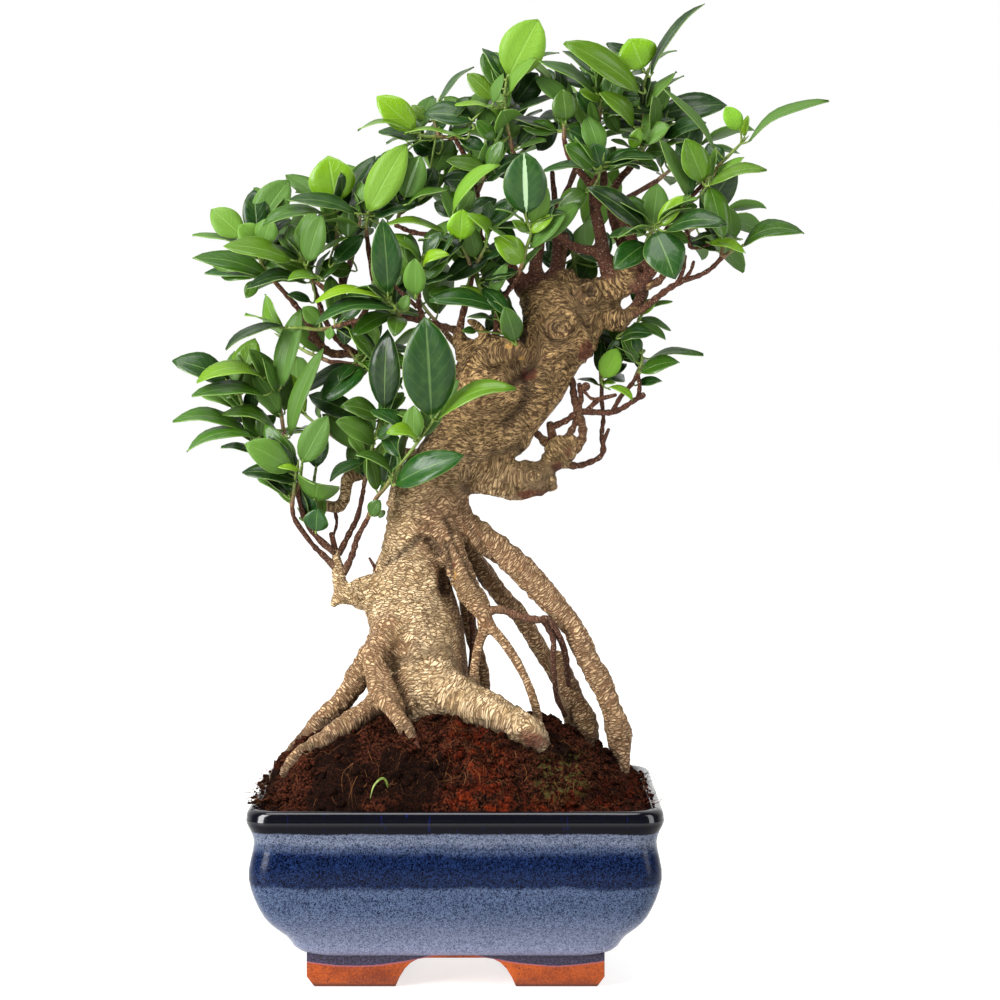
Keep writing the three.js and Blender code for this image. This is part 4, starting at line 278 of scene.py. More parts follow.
# leafy sprays: shoots are paths of across, up, depth; a leaf is foot across and up, tip across and up,
# depth, how much further back its tip lies, width, turn of its face from the eye to the sky, tone and,
# where it isn't 0.06, arch
sprays = {
    "leftTip": {"shoots": [
        [(-134, 295, -14), (-141, 307, -11), (-148, 324, -9), (-153, 336, -9), (-157, 340, -9)],
    ], "leaves": [
        (-157, 341, -190, 353, -8, -6, 19, 42, "sheen", 0.08),
        (-151, 338, -142, 366, -3, 6, 17, 10, "fresh", 0.08),
        (-151, 326, -174, 334, -2, 0, 14, 55, "mid", 0.08), (-145, 323, -143, 337, 0, 2, 9, 10, "deep", 0.08),
        (-147, 312, -190, 318, -13, -8, 18, 66, "mid", 0.14),
        (-141, 308, -182, 300, -20, -12, 18, 66, "mid", 0.18),
        (-137, 298, -162, 303, -9, 0, 12, 75, "deep", 0.08), (-143, 310, -130, 321, -7, 2, 9, 15, "sheen"),
    ]},
    "tipInner": {"shoots": [
        [(-125, 307, -10), (-127, 322, -9), (-129, 334, -9), (-134, 342, -10)],
    ], "leaves": [
        (-137, 343, -176, 340, -13, -8, 18, 64, "lime", 0.2),
        (-137, 333, -179, 332, -18, -8, 17, 64, "mid", 0.1),
        (-130, 313, -161, 322, -14, -6, 15, 66, "olive", 0.16),
        (-127, 338, -115, 383, -13, -2, 15, 28, "sheen"), (-131, 339, -139, 353, -3, 4, 12, 15, "dark"),
        (-128, 322, -143, 345, -9, 4, 13, 20, "sheen"), (-127, 320, -143, 334, -14, 0, 9, 45, "deep"),
        (-125, 324, -125, 350, -4, 4, 10, 20, "dark"), (-122, 309, -102, 360, -14, -6, 13, 42, "dark", 0.07),
    ]},
    "lowTip": {"shoots": [
        [(-121, 268, -23), (-120, 276, -25), (-119, 285, -27), (-118, 290, -28)],
    ], "leaves": [
        (-121, 290, -148, 305, -30, -10, 18, 20, "olive", 0.1),
        (-119, 290, -138, 301, -20, 4, 13, 20, "dark"), (-119, 283, -150, 288, -25, -2, 15, 50, "dark", 0.1),
        (-123, 275, -141, 285, -21, 4, 10, 50, "sheen", 0.08),
        (-117, 289, -129, 291, -32, -2, 5, 50, "lime", 0.1),
    ]},
    "lowFront": {"shoots": [
        [(-118, 277, -20), (-116, 286, -28), (-115, 293, -32)],
    ], "leaves": [
        (-115, 294, -100, 321, -33, -8, 16, 5, "sheen"),
    ]},
    "lowUnder": {"shoots": [
        [(-108, 253, -13), (-109, 262, -13), (-108, 273, -14), (-108, 283, -15), (-107, 290, -16)],
    ], "leaves": [
        (-107, 291, -105, 315, -17, 6, 15, 10, "dark"),
        (-108, 272, -107, 281, -20, -34, 25, 180, "mid", 0.12),
        (-107, 254, -106, 267, -19, -6, 15, 10, "deep"),
    ]},
    "lowHub": {"shoots": [
        [(-79, 281, -10), (-77, 290, -14), (-75, 299, -19), (-73, 307, -21), (-70, 318, -20)],
    ], "leaves": [
        (-70, 320, -92, 327, -20, -8, 15, 45, "olive", 0.1), (-73, 314, -83, 324, -11, 4, 9, 20, "dark"),
        (-73, 305, -95, 318, -26, -10, 15, 42, "olive", 0.1),
        (-71, 308, -60, 315, -26, -6, 8, 30, "sheen", 0.08), (-74, 291, -60, 309, -17, 4, 10, 30, "fresh"),
        (-79, 294, -99, 283, -14, -2, 12, 60, "deep", 0.12), (-80, 287, -88, 304, -5, 6, 10, 10, "dark"),
        (-77, 286, -75, 299, -15, -4, 6, 20, "olive"), (-79, 302, -103, 322, -4, 6, 15, 15, "dark"),
        (-82, 321, -111, 333, 0, 6, 14, 15, "dark"), (-62, 315, -71, 325, -22, -4, 10, 20, "mid"),
        (-67, 325, -65, 371, -26, -6, 19, 12, "dark"),
    ]},
    "front": {"shoots": [
        [(-77, 261, -19), (-72, 273, -25), (-67, 279, -29), (-60, 290, -35), (-52, 300, -40),
         (-44, 311, -44), (-38, 319, -46)],
    ], "leaves": [
        (-40, 321, -43, 378, -52, -14, 30, 5, "deep", 0.04), (-50, 307, -50, 327, -48, -4, 13, 15, "olive"),
        (-48, 308, -66, 311, -48, -8, 11, 58, "lime", 0.18),
        (-63, 285, -84, 298, -36, -12, 12, 68, "mid", 0.2), (-68, 279, -58, 306, -24, 6, 13, 15, "deep"),
        (-61, 281, -21, 298, -38, -14, 18, 28, "deep", 0.08),
        (-36, 318, 9, 337, -46, -10, 17, 60, "fresh", 0.16),
        (-75, 263, -70, 272, -24, -6, 9, 15, "mid", 0.08), (-36, 322, -24, 342, -40, 0, 9, 30, "sheen"),
    ]},
    "leftLow": {"shoots": [
        [(-88, 360, 5), (-84, 354, 1), (-80, 350, -3)],
    ], "leaves": [
        (-86, 350, -116, 333, 1, 8, 13, 50, "dark"), (-79, 349, -103, 330, -6, -8, 18, 33, "deep", 0.08),
        (-77, 347, -86, 342, 3, 6, 6, 30, "olive"), (-76, 359, -73, 376, -4, -2, 11, 10, "fresh"),
    ]},
    "leftFar": {"shoots": [
        [(-129, 397, -7), (-135, 404, -10), (-139, 412, -14), (-140, 421, -16), (-141, 429, -15)],
    ], "leaves": [
        (-148, 419, -178, 425, -6, 4, 12, 72, "mid", 0.08), (-149, 424, -167, 440, -3, 6, 17, 15, "fresh"),
        (-141, 431, -122, 457, -12, -2, 20, 3, "sheen", 0.05),
        (-140, 421, -151, 431, -19, -4, 14, 10, "fresh"), (-137, 421, -132, 435, -24, -4, 14, 10, "mid"),
        (-133, 401, -178, 412, -20, -12, 18, 50, "mid", 0.1),
        (-136, 401, -171, 403, -8, 4, 14, 60, "deep", 0.08), (-132, 399, -148, 405, 0, 6, 8, 40, "deep"),
        (-141, 399, -147, 389, -9, -4, 8, 10, "olive"),
    ]},
    "leftMiddle": {"shoots": [
        [(-108, 397, -10), (-111, 404, -15), (-114, 411, -20)],
    ], "leaves": [
        (-121, 411, -160, 419, -30, -12, 18, 50, "fresh", 0.08),
        (-112, 398, -147, 394, -25, -10, 15, 60, "dark", 0.16),
        (-104, 399, -123, 399, -22, -8, 12, 64, "fresh", 0.18),
        (-111, 410, -103, 437, -30, -6, 15, 14, "dark"), (-108, 403, -130, 410, -17, 2, 12, 40, "olive"),
        (-116, 418, -130, 421, -10, 4, 9, 40, "mid"), (-110, 387, -123, 391, -6, 2, 8, 50, "deep", 0.08),
        (-105, 400, -92, 413, -10, 4, 10, 30, "mid"), (-104, 415, -88, 424, -19, -2, 8, 68, "fresh"),
        (-119, 421, -115, 441, -6, 6, 8, 25, "dark"),
    ]},
    "leftUpper": {"shoots": [
        [(-95, 418, 2), (-94, 430, -3), (-92, 441, -7)],
    ], "leaves": [
        (-95, 444, -99, 471, -14, -4, 27, 0, "lime", 0.05), (-103, 446, -124, 460, -5, 4, 13, 35, "sheen"),
        (-101, 437, -137, 431, -16, -8, 14, 58, "mid", 0.14), (-98, 420, -102, 440, 0, 4, 15, 10, "deep"),
        (-88, 424, -87, 441, -9, 0, 12, 5, "striped", 0.05), (-96, 409, -79, 425, -14, 2, 12, 25, "deep"),
        (-90, 443, -72, 471, 2, 6, 12, 35, "dark", 0.06), (-85, 441, -81, 457, 0, 4, 8, 10, "dark"),
        (-86, 405, -100, 406, 4, 4, 11, 20, "olive"),
    ]},
    "leftInner": {"shoots": [
        [(-77, 425, -9), (-77, 432, -13), (-76, 437, -16)],
    ], "leaves": [
        (-76, 439, -54, 478, -20, -8, 20, 8, "lime"), (-84, 438, -123, 445, -24, -10, 16, 56, "sheen", 0.1),
        (-65, 434, -62, 457, -11, 4, 12, 15, "deep"),
    ]},
    "leafTwig": {"shoots": [
        [(-90, 374, -17), (-103, 371, -19), (-115, 372, -20), (-123, 372, -20)],
    ], "leaves": [
        (-124, 372, -159, 359, -20, -6, 16, 70, "dark", 0.14), (-105, 375, -114, 384, -13, 4, 10, 10, "mid"),
        (-98, 372, -99, 365, -20, -2, 6, 10, "mid"), (-89, 376, -90, 362, -10, 2, 10, 20, "dark"),
    ]},
    "middleFront": {"shoots": [
        [(-58, 379, -20), (-61, 384, -26), (-65, 388, -31)],
    ], "leaves": [
        (-66, 388, -107, 387, -34, -12, 14, 70, "lime", 0.14),
        (-62, 382, -107, 374, -36, -14, 17, 62, "sheen", 0.16),
        (-65, 392, -68, 435, -40, -10, 18, 14, "deep", 0.05), (-57, 382, -53, 391, -30, -2, 7, 15, "mid"),
        (-53, 384, -56, 393, -26, -2, 5, 15, "mid"), (-61, 396, -57, 403, -22, 0, 6, 15, "mid"),
    ]},
    "middleTwig": {"shoots": [
        [(-47, 395, -26), (-46, 404, -30), (-45, 411, -31)],
    ], "leaves": [
        (-46, 411, -68, 424, -34, -12, 14, 60, "fresh", 0.18), (-44, 414, -34, 427, -34, -4, 9, 20, "sheen"),
        (-45, 407, -29, 414, -38, -6, 10, 52, "lime", 0.24), (-49, 391, -49, 412, -36, -4, 13, 12, "olive"),
        (-44, 400, -30, 418, -30, 0, 13, 20, "mid"), (-50, 404, -60, 420, -14, 4, 11, 20, "dark"),
        (-43, 399, -27, 413, -22, 2, 9, 64, "fresh"),
    ]},
    "stumpTop": {"shoots": [
        [(-16, 404, -18), (-19, 413, -23), (-23, 421, -28), (-26, 433, -29)],
        [(-16, 404, -18), (-12, 412, -21), (-8, 420, -23), (-8, 431, -24)],
    ], "leaves": [
        (-23, 423, -22, 440, -34, -8, 16, 0, "lime"), (-8, 420, -20, 438, -30, -10, 10, 52, "fresh", 0.28),
        (-25, 392, -41, 391, -22, -4, 9, 40, "mid"), (-29, 425, -68, 431, -34, -14, 14, 72, "fresh", 0.12),
        (-25, 419, -37, 424, -32, -4, 6, 58, "fresh", 0.08),
        (-27, 437, 0, 466, -32, -10, 14, 60, "lime", 0.16), (-25, 436, -38, 444, -22, 6, 10, 20, "dark"),
        (-19, 436, -2, 446, -16, 8, 11, 20, "dark"), (-7, 434, -6, 445, -24, -2, 7, 10, "sheen", 0.06),
        (-4, 436, 7, 442, -20, 0, 7, 30, "deep"), (-6, 415, -31, 399, -10, 4, 14, 20, "dark", 0.06),
        (-5, 411, -4, 396, -14, 0, 12, 8, "dark"), (-19, 417, -6, 420, -16, 2, 7, 15, "deep"),
    ]},
    "stumpRight": {"shoots": [
        [(10, 402, -18), (13, 409, -23), (15, 417, -28), (18, 427, -32), (16, 433, -35)],
    ], "leaves": [
        (13, 410, -3, 424, -30, -8, 15, 18, "lime", 0.1), (18, 427, 31, 437, -34, -4, 8, 25, "lime"),
        (16, 427, 7, 434, -35, -4, 6, 20, "fresh"), (20, 421, 46, 444, -34, -10, 13, 12, "deep"),
        (15, 438, 14, 473, -42, -10, 25, 0, "striped", 0.04), (9, 424, -9, 434, -22, 0, 9, 25, "deep"),
    ]},
    "stumpLow": {"shoots": [
        [(-2, 372, -12), (3, 368, -14), (8, 364, -14)],
    ], "leaves": [
        (9, 364, 3, 384, -16, -4, 13, 8, "mid", 0.06), (-4, 377, -19, 378, -16, -2, 8, 66, "mid"),
        (-3, 380, -7, 370, -12, 0, 7, 20, "dark", 0.06), (-14, 370, -22, 370, -12, 0, 5, 30, "mid"),
    ]},
    "stumpBack": {"shoots": [
        [(-12, 408, -7), (-14, 402, -15), (-11, 391, -21)],
    ], "leaves": [
        (-8, 389, -23, 396, -18, -2, 8, 68, "lime", 0.06), (-5, 391, 4, 409, -8, 4, 8, 12, "sheen"),
        (-2, 383, -41, 388, -20, -6, 15, 48, "deep", 0.1),
    ]},
    "hubTop": {"shoots": [
        [(56, 459, -12), (58, 463, -16), (59, 467, -18)],
    ], "leaves": [
        (58, 464, 54, 478, -18, -2, 14, 8, "deep", 0.06), (54, 464, 37, 477, -22, -6, 14, 30, "mid"),
        (55, 461, 25, 462, -24, -8, 12, 68, "sheen", 0.14), (61, 463, 81, 474, -18, -2, 12, 45, "deep", 0.1),
        (50, 450, 34, 440, -6, 8, 14, 20, "olive"),
    ]},
    "topInner": {"shoots": [
        [(57, 490, 0), (58, 501, -2), (59, 511, -4)],
    ], "leaves": [
        (59, 513, 36, 531, -4, 2, 12, 56, "sheen", 0.06), (58, 503, 46, 508, -8, -4, 9, 30, "fresh", 0.1),
        (55, 507, 22, 525, -12, -8, 14, 58, "mid", 0.08), (55, 487, 52, 502, -6, 0, 7, 20, "mid"),
        (52, 486, 42, 507, -6, 4, 12, 15, "olive", 0.06), (54, 510, 35, 518, 4, 6, 12, 28, "sheen"),
        (60, 498, 68, 484, 0, 4, 10, 20, "deep", 0.06), (62, 506, 70, 512, 2, 4, 9, 25, "mid"),
    ]},
    "topCentre": {"shoots": [
        [(37, 480, -8), (37, 489, -8), (36, 498, -6), (34, 506, -4)],
    ], "leaves": [
        (38, 491, 36, 509, -14, -4, 15, 8, "olive", 0.06), (40, 500, 20, 516, -8, 0, 12, 30, "deep"),
        (33, 505, 8, 494, -14, -6, 10, 64, "dark", 0.08), (30, 485, 8, 490, -4, 4, 11, 50, "dark", 0.1),
        (30, 513, 10, 527, -4, 0, 10, 60, "fresh", 0.1), (40, 486, 52, 478, -8, 0, 10, 25, "deep"),
        (33, 490, 22, 474, -4, 6, 12, 15, "dark"),
    ]},
    "crown": {"shoots": [
        [(9, 469, -3), (6, 479, -6), (4, 489, -8), (3, 499, -8), (3, 508, -8), (4, 514, -8)],
    ], "leaves": [
        (5, 517, 22, 549, -12, -4, 26, 2, "lime", 0.05), (2, 514, -6, 531, 0, 6, 15, 15, "sheen"),
        (-3, 503, -19, 518, -6, 2, 12, 15, "fresh"), (-4, 501, 2, 518, -14, -4, 8, 40, "sheen", 0.06),
        (5, 507, 21, 527, -18, -8, 11, 48, "fresh", 0.1), (16, 521, 34, 530, 2, 4, 8, 70, "olive", 0.12),
        (9, 501, 22, 518, -4, 4, 17, 5, "dark"), (3, 489, 1, 497, -14, -24, 18, 20, "mid", 0.1),
        (-4, 498, -26, 500, -10, -4, 8, 70, "lime", 0.08), (-6, 481, -9, 499, -4, 2, 13, 12, "deep", 0.06),
        (-3, 480, -14, 491, -16, -6, 9, 15, "mid"), (14, 474, 20, 492, 2, 6, 12, 10, "dark"),
    ]},
    "crownLeft": {"shoots": [
        [(-26, 481, -6), (-35, 482, -9), (-43, 482, -10), (-48, 484, -10)],
        [(-26, 481, -6), (-20, 487, -10), (-16, 491, -12)],
        [(-35, 482, -9), (-38, 492, -6), (-36, 500, -4)],
    ], "leaves": [
        (-15, 491, -44, 495, -18, -8, 18, 38, "sheen", 0.08),
        (-35, 501, -15, 522, -4, 0, 9, 66, "sheen", 0.1), (-49, 486, -71, 505, -14, -4, 17, 8, "lime"),
        (-50, 484, -82, 486, -18, -6, 13, 74, "fresh", 0.16), (-47, 480, -70, 485, -12, 2, 12, 55, "sheen"),
        (-42, 491, -51, 500, -4, 2, 7, 15, "fresh"), (-22, 481, -55, 484, -22, -4, 12, 74, "fresh", 0.1),
        (-37, 473, -50, 479, 0, 4, 14, 15, "dark"), (-16, 486, -31, 481, -20, -4, 7, 50, "mid", 0.08),
        (-38, 462, -28, 480, -4, 4, 17, 10, "dark"),
    ]},
    "crownInner": {"shoots": [
        [(-13, 450, -2), (-9, 459, -6), (-7, 467, -9), (-8, 475, -10)],
    ], "leaves": [
        (-8, 463, -31, 468, -12, -4, 11, 35, "olive"), (-7, 464, 2, 480, -16, -4, 9, 20, "mid", 0.06),
        (-14, 456, -33, 457, -6, 4, 13, 20, "dark"), (-9, 474, -24, 481, -8, 4, 10, 30, "deep", 0.06),
        (-4, 470, 6, 458, -8, 4, 11, 10, "dark"),
    ]},
    "innerLeft": {"shoots": [
        [(-60, 431, -12), (-58, 438, -14), (-55, 445, -16)],
        [(-58, 438, -14), (-51, 442, -16), (-46, 446, -18)],
    ], "leaves": [
        (-55, 447, -46, 471, -20, -4, 17, 4, "striped", 0.05), (-47, 447, -61, 441, -18, -6, 10, 35, "mid"),
        (-54, 443, -30, 451, -22, -6, 11, 68, "olive", 0.1), (-51, 464, -58, 475, -4, 4, 9, 15, "deep"),
        (-44, 450, -38, 464, -10, 4, 13, 10, "dark"),
    ]},
    "topRight": {"shoots": [
        [(82, 484, 8), (83, 492, 6), (83, 503, 4), (83, 512, 2), (85, 518, 1)],
    ], "leaves": [
        (87, 517, 118, 558, -4, -10, 13, 68, "dark", 0.1), (82, 521, 75, 538, -6, -4, 24, 5, "lime"),
        (80, 508, 37, 536, -12, -12, 19, 36, "fresh"), (86, 521, 102, 531, 4, 2, 9, 76, "olive", 0.12),
        (84, 499, 102, 519, 0, -2, 12, 58, "olive"), (88, 503, 106, 517, 8, 4, 9, 70, "mid", 0.06),
        (77, 488, 57, 507, -12, -8, 14, 42, "fresh", 0.14), (80, 499, 67, 514, 0, 2, 9, 20, "deep", 0.06),
        (82, 485, 94, 503, -2, 0, 8, 30, "mid"), (84, 511, 73, 516, 4, 2, 6, 50, "mid"),
    ]},
    "rightUpper": {"shoots": [
        [(82, 474, 10), (86, 479, 6), (91, 484, 4)],
    ], "leaves": [
        (91, 494, 131, 500, 18, 2, 19, 26, "sheen", 0.08), (95, 481, 119, 490, 6, -4, 13, 46, "deep", 0.1),
        (81, 479, 98, 488, 0, -4, 13, 28, "mid", 0.06), (88, 488, 101, 492, 6, 0, 6, 60, "mid"),
        (76, 475, 81, 487, -4, -2, 8, 10, "fresh", 0.06), (75, 476, 64, 480, -2, -4, 6, 60, "fresh"),
        (92, 474, 108, 480, 4, -2, 8, 66, "fresh", 0.08), (83, 472, 96, 473, 4, -4, 10, 30, "mid", 0.1),
        (80, 468, 92, 462, 8, 0, 7, 30, "mid", 0.1),
    ]},
    "rightHub": {"shoots": [
        [(87, 425, -12), (88, 429, -18), (90, 431, -22)],
    ], "leaves": [
        (90, 427, 101, 400, -28, -14, 24, 3, "sheen", 0.08), (84, 420, 66, 406, -20, -8, 16, 18, "deep", 0.1),
        (88, 429, 91, 455, -18, 2, 17, 8, "dark", 0.05), (84, 429, 50, 453, -26, -12, 17, 38, "dark", 0.07),
        (92, 431, 106, 448, -24, -4, 10, 15, "lime"), (92, 431, 102, 435, -20, 0, 6, 30, "lime"),
        (96, 428, 131, 432, -28, -12, 17, 50, "sheen", 0.14), (97, 427, 109, 421, -12, 0, 8, 20, "mid", 0.06),
        (84, 426, 77, 438, -10, 2, 8, 15, "mid"), (85, 417, 92, 408, -12, 2, 9, 15, "deep", 0.06),
        (83, 432, 76, 448, -8, 6, 11, 15, "deep"),
    ]},
    "rightTop": {"shoots": [
        [(121, 458, -6), (127, 466, -8), (133, 472, -8), (139, 478, -8)],
    ], "leaves": [
        (143, 479, 190, 502, -10, -14, 15, 68, "deep", 0.12), (138, 486, 130, 499, -10, -2, 11, 5, "bright"),
        (141, 482, 143, 494, -6, 2, 6, 50, "lime"), (124, 475, 94, 509, -20, -10, 10, 58, "dark", 0.07),
        (127, 466, 120, 478, 0, 6, 12, 10, "deep"), (122, 459, 125, 476, -12, -2, 7, 55, "olive", 0.05),
        (124, 457, 141, 470, -14, -4, 10, 52, "fresh"), (121, 454, 154, 463, -18, -10, 14, 60, "fresh", 0.12),
        (121, 453, 129, 423, -16, -6, 15, 15, "olive"), (117, 456, 107, 481, -10, -2, 17, 8, "fresh"),
        (110, 448, 102, 477, -8, 4, 13, 18, "deep"), (108, 448, 92, 480, -16, -4, 12, 45, "dark"),
        (106, 440, 114, 442, -10, -2, 7, 20, "olive"),
    ]},
    "rightLow": {"shoots": [
        [(128, 412, -5), (135, 417, -6), (140, 419, -6)],
        [(128, 412, -5), (129, 420, -4), (131, 426, -2)],
    ], "leaves": [
        (141, 420, 176, 426, -8, -10, 16, 50, "mid", 0.22), (136, 424, 131, 441, -4, 4, 11, 12, "dark"),
        (131, 425, 118, 445, 4, 8, 15, 15, "dark"), (128, 426, 111, 422, 0, -2, 7, 68, "olive", 0.08),
        (121, 421, 142, 415, -12, -6, 9, 45, "lime", 0.14),
    ]},
    "rightTwig": {"shoots": [
        [(80, 345, 10), (82, 350, 10), (82, 357, 12)],
    ], "leaves": [
        (82, 346, 104, 352, 6, -6, 14, 48, "mid", 0.1), (86, 354, 118, 356, 13, 2, 12, 72, "mid", 0.1),
        (80, 339, 94, 341, 8, -4, 8, 48, "deep", 0.1), (83, 359, 62, 361, 16, 4, 12, 48, "olive", 0.12),
        (81, 358, 77, 367, 12, 2, 7, 15, "deep"),
    ]},
    "rightLong": {"shoots": [
        [(59, 340, 9), (58, 350, 10), (58, 360, 12)],
    ], "leaves": [
        (60, 343, 68, 360, 5, -2, 13, 0, "lime", 0.05), (59, 340, 67, 340, 8, -2, 6, 60, "fresh"),
        (57, 339, 45, 342, 9, 2, 6, 68, "olive", 0.1), (62, 337, 77, 330, 6, -4, 8, 62, "lime", 0.18),
    ]},
    "rightKnee": {"shoots": [
        [(75, 370, 12), (79, 374, 12), (82, 379, 14)],
    ], "leaves": [
        (80, 377, 99, 370, 14, 2, 8, 58, "mid", 0.1), (79, 374, 96, 365, 8, -4, 9, 50, "mid", 0.1),
        (70, 366, 88, 368, 5, -6, 14, 48, "dark", 0.14), (71, 370, 57, 361, 12, 2, 13, 12, "dark"),
        (80, 380, 90, 388, 10, 0, 8, 20, "lime", 0.06), (88, 384, 100, 387, 14, 2, 5, 60, "fresh"),
        (80, 384, 82, 400, 22, 4, 11, 12, "deep"),
    ]},
    "headLow": {"shoots": [
        [(38, 425, 14), (41, 418, 18), (43, 410, 20)],
    ], "leaves": [
        (35, 405, 23, 416, 16, 4, 9, 15, "deep", 0.06), (32, 410, 38, 430, 24, 4, 17, 8, "deep"),
        (45, 397, 54, 412, 24, 2, 15, 5, "mid", 0.06), (44, 400, 40, 411, 26, 4, 8, 10, "olive"),
        (60, 411, 62, 427, 22, 4, 9, 15, "deep"),
    ]},
}

# shoots at the back: a path, and how many of its leaves the solids hold
backSprays = {
    "backLeftLow": ([(-92, 306, 44), (-104, 314, 54), (-116, 324, 60)], 5),
    "backLeftMid": ([(-98, 352, 48), (-112, 358, 60), (-126, 366, 66)], 5),
    "backLeftHigh": ([(-106, 398, 48), (-118, 408, 60), (-128, 418, 64)], 5),
    "backInnerHigh": ([(-82, 428, 46), (-80, 442, 60), (-76, 456, 66)], 5),
    "backStump": ([(-34, 372, 52), (-44, 384, 66), (-50, 396, 72)], 5),
    "backCentre": ([(-22, 430, 48), (-32, 446, 62), (-38, 462, 66)], 5),
    "backTop": ([(8, 462, 48), (4, 480, 60), (0, 496, 62)], 5),
    "backTopRight": ([(46, 470, 52), (52, 486, 62), (56, 502, 62)], 5),
    "backRight": ([(90, 456, 52), (102, 466, 62), (112, 476, 66)], 5),
    "backRightLow": ([(104, 424, 48), (116, 432, 58), (126, 438, 62)], 5),
    "backHead": ([(50, 408, 60), (52, 422, 72), (50, 436, 76)], 5),
}


# small helpers
def seen(across, up, depth):
    # a place that looks to be at across and up on the pot's middle plane, depth behind it
    reach = (eyeDistance + depth) / eyeDistance
    return np.array((across * reach, depth, eyeHeight + (up - eyeHeight) * reach))


def makeRandom(seed):
    state = seed
    while True:
        state = state * 16807 % 2147483647
        yield state / 2147483647


def unit(v):
    return v / np.linalg.norm(v)


def lerp(a, b, t):
    return a + (b - a) * t


def smoothPath(points, perSpan):
    # a Catmull-Rom curve through the rows, whatever their width
    rows = [np.array(p, float) for p in points]
    if len(rows) < 3 or perSpan < 2:
        return rows
    ends = [2 * rows[0] - rows[1]] + rows + [2 * rows[-1] - rows[-2]]
    out = []
    for i in range(len(rows) - 1):
        a, b, c, d = ends[i:i + 4]
        for k in range(perSpan):
            t = k / perSpan
            out.append(0.5 * (2 * b + (c - a) * t + (2 * a - 5 * b + 4 * c - d) * t * t
                              + (3 * b - 3 * c + d - a) * t ** 3))
    return out + [rows[-1]]


def growRings(bm, sides, count, place):
    # extrudes a circle of edges from ring to ring and closes both ends; place(ring, turn) gives each spot
    # in millimetres
    ring = bmesh.ops.create_circle(bm, cap_ends=False, radius=1, segments=sides)["verts"]
    edges = list({e for v in ring for e in v.link_edges})
    first = list(ring)
    for i in range(count):
        if i:
            grown = bmesh.ops.extrude_edge_only(bm, edges=edges)["geom"]
            made = {v for v in grown if isinstance(v, bmesh.types.BMVert)}
            above = {}
            for v in made:
                for e in v.link_edges:
                    if e.other_vert(v) not in made:
                        above[e.other_vert(v)] = v
            ring = [above[v] for v in ring]
            edges = [e for e in grown if isinstance(e, bmesh.types.BMEdge) and made.issuperset(e.verts)]
        for k, v in enumerate(ring):
            v.co = Vector(place(i, k)) * mm
    for loop in (first, ring):
        bmesh.ops.contextual_create(bm, geom=loop)


def growTube(bm, centres, radii, sides):
    last = len(centres) - 1
    frames = []
    out = None
    for i in range(len(centres)):
        heading = unit(centres[min(i + 1, last)] - centres[max(i - 1, 0)])
        if out is None:
            out = np.cross(heading, (1.0, 0, 0) if abs(heading[0]) < 0.8 else (0, 0, 1.0))
        out = unit(out - heading * out.dot(heading))
        frames.append((out, np.cross(heading, out)))

    def place(i, k):
        angle = 2 * math.pi * k / sides
        return centres[i] + (frames[i][0] * math.cos(angle) + frames[i][1] * math.sin(angle)) * radii[i]
    growRings(bm, sides, len(centres), place)


def gather(builders, size=40):
    # builds many small shapes in batches, which keeps each batch quick
    whole = bmesh.new()
    for start in range(0, len(builders), size):
        part = bmesh.new()
        for build in builders[start:start + size]:
            build(part)
        mesh = bpy.data.meshes.new("batch")
        part.to_mesh(mesh)
        part.free()
        whole.from_mesh(mesh)
        bpy.data.meshes.remove(mesh)
    return whole


def shade(mesh, smooth=True):
    mesh.polygons.foreach_set("use_smooth", [smooth] * len(mesh.polygons))


def makePiece(name, bm, materials, smooth=True):
    bmesh.ops.recalc_face_normals(bm, faces=bm.faces)
    mesh = bpy.data.meshes.new(name)
    bm.to_mesh(mesh)
    bm.free()
    piece = bpy.data.objects.new(name, mesh)
    bpy.context.scene.collection.objects.link(piece)
    for material in materials:
        mesh.materials.append(material)
    shade(mesh, smooth)
    return piece


def settle(piece):
    # takes the modifiers' result as the piece's own mesh
    shape = piece.evaluated_get(bpy.context.evaluated_depsgraph_get())
    mesh = bpy.data.meshes.new_from_object(shape)
    mesh.name = piece.name
    piece.modifiers.clear()
    piece.data = mesh
    return mesh


def readSpots(mesh):
    spots = np.empty(len(mesh.vertices) * 3)
    mesh.vertices.foreach_get("co", spots)
    return spots.reshape(-1, 3)


def readNormals(mesh):
    normals = np.empty(len(mesh.vertices) * 3, np.float32)
    mesh.vertex_normals.foreach_get("vector", normals)
    return normals.reshape(-1, 3).astype(float)


def addValues(mesh, name, values):
    layer = mesh.attributes.new(name, "FLOAT", "POINT")
    layer.data.foreach_set("value", np.asarray(values, np.float32))


def srgb(*parts):
    # a screen colour of 0 to 255 as the light that a material takes
    return tuple(p / 255 / 12.92 if p < 11 else ((p / 255 + 0.055) / 1.055) ** 2.4 for p in parts) + (1.0,)


def shades(*pairs):
    return tuple(srgb(*parts) for parts in pairs)


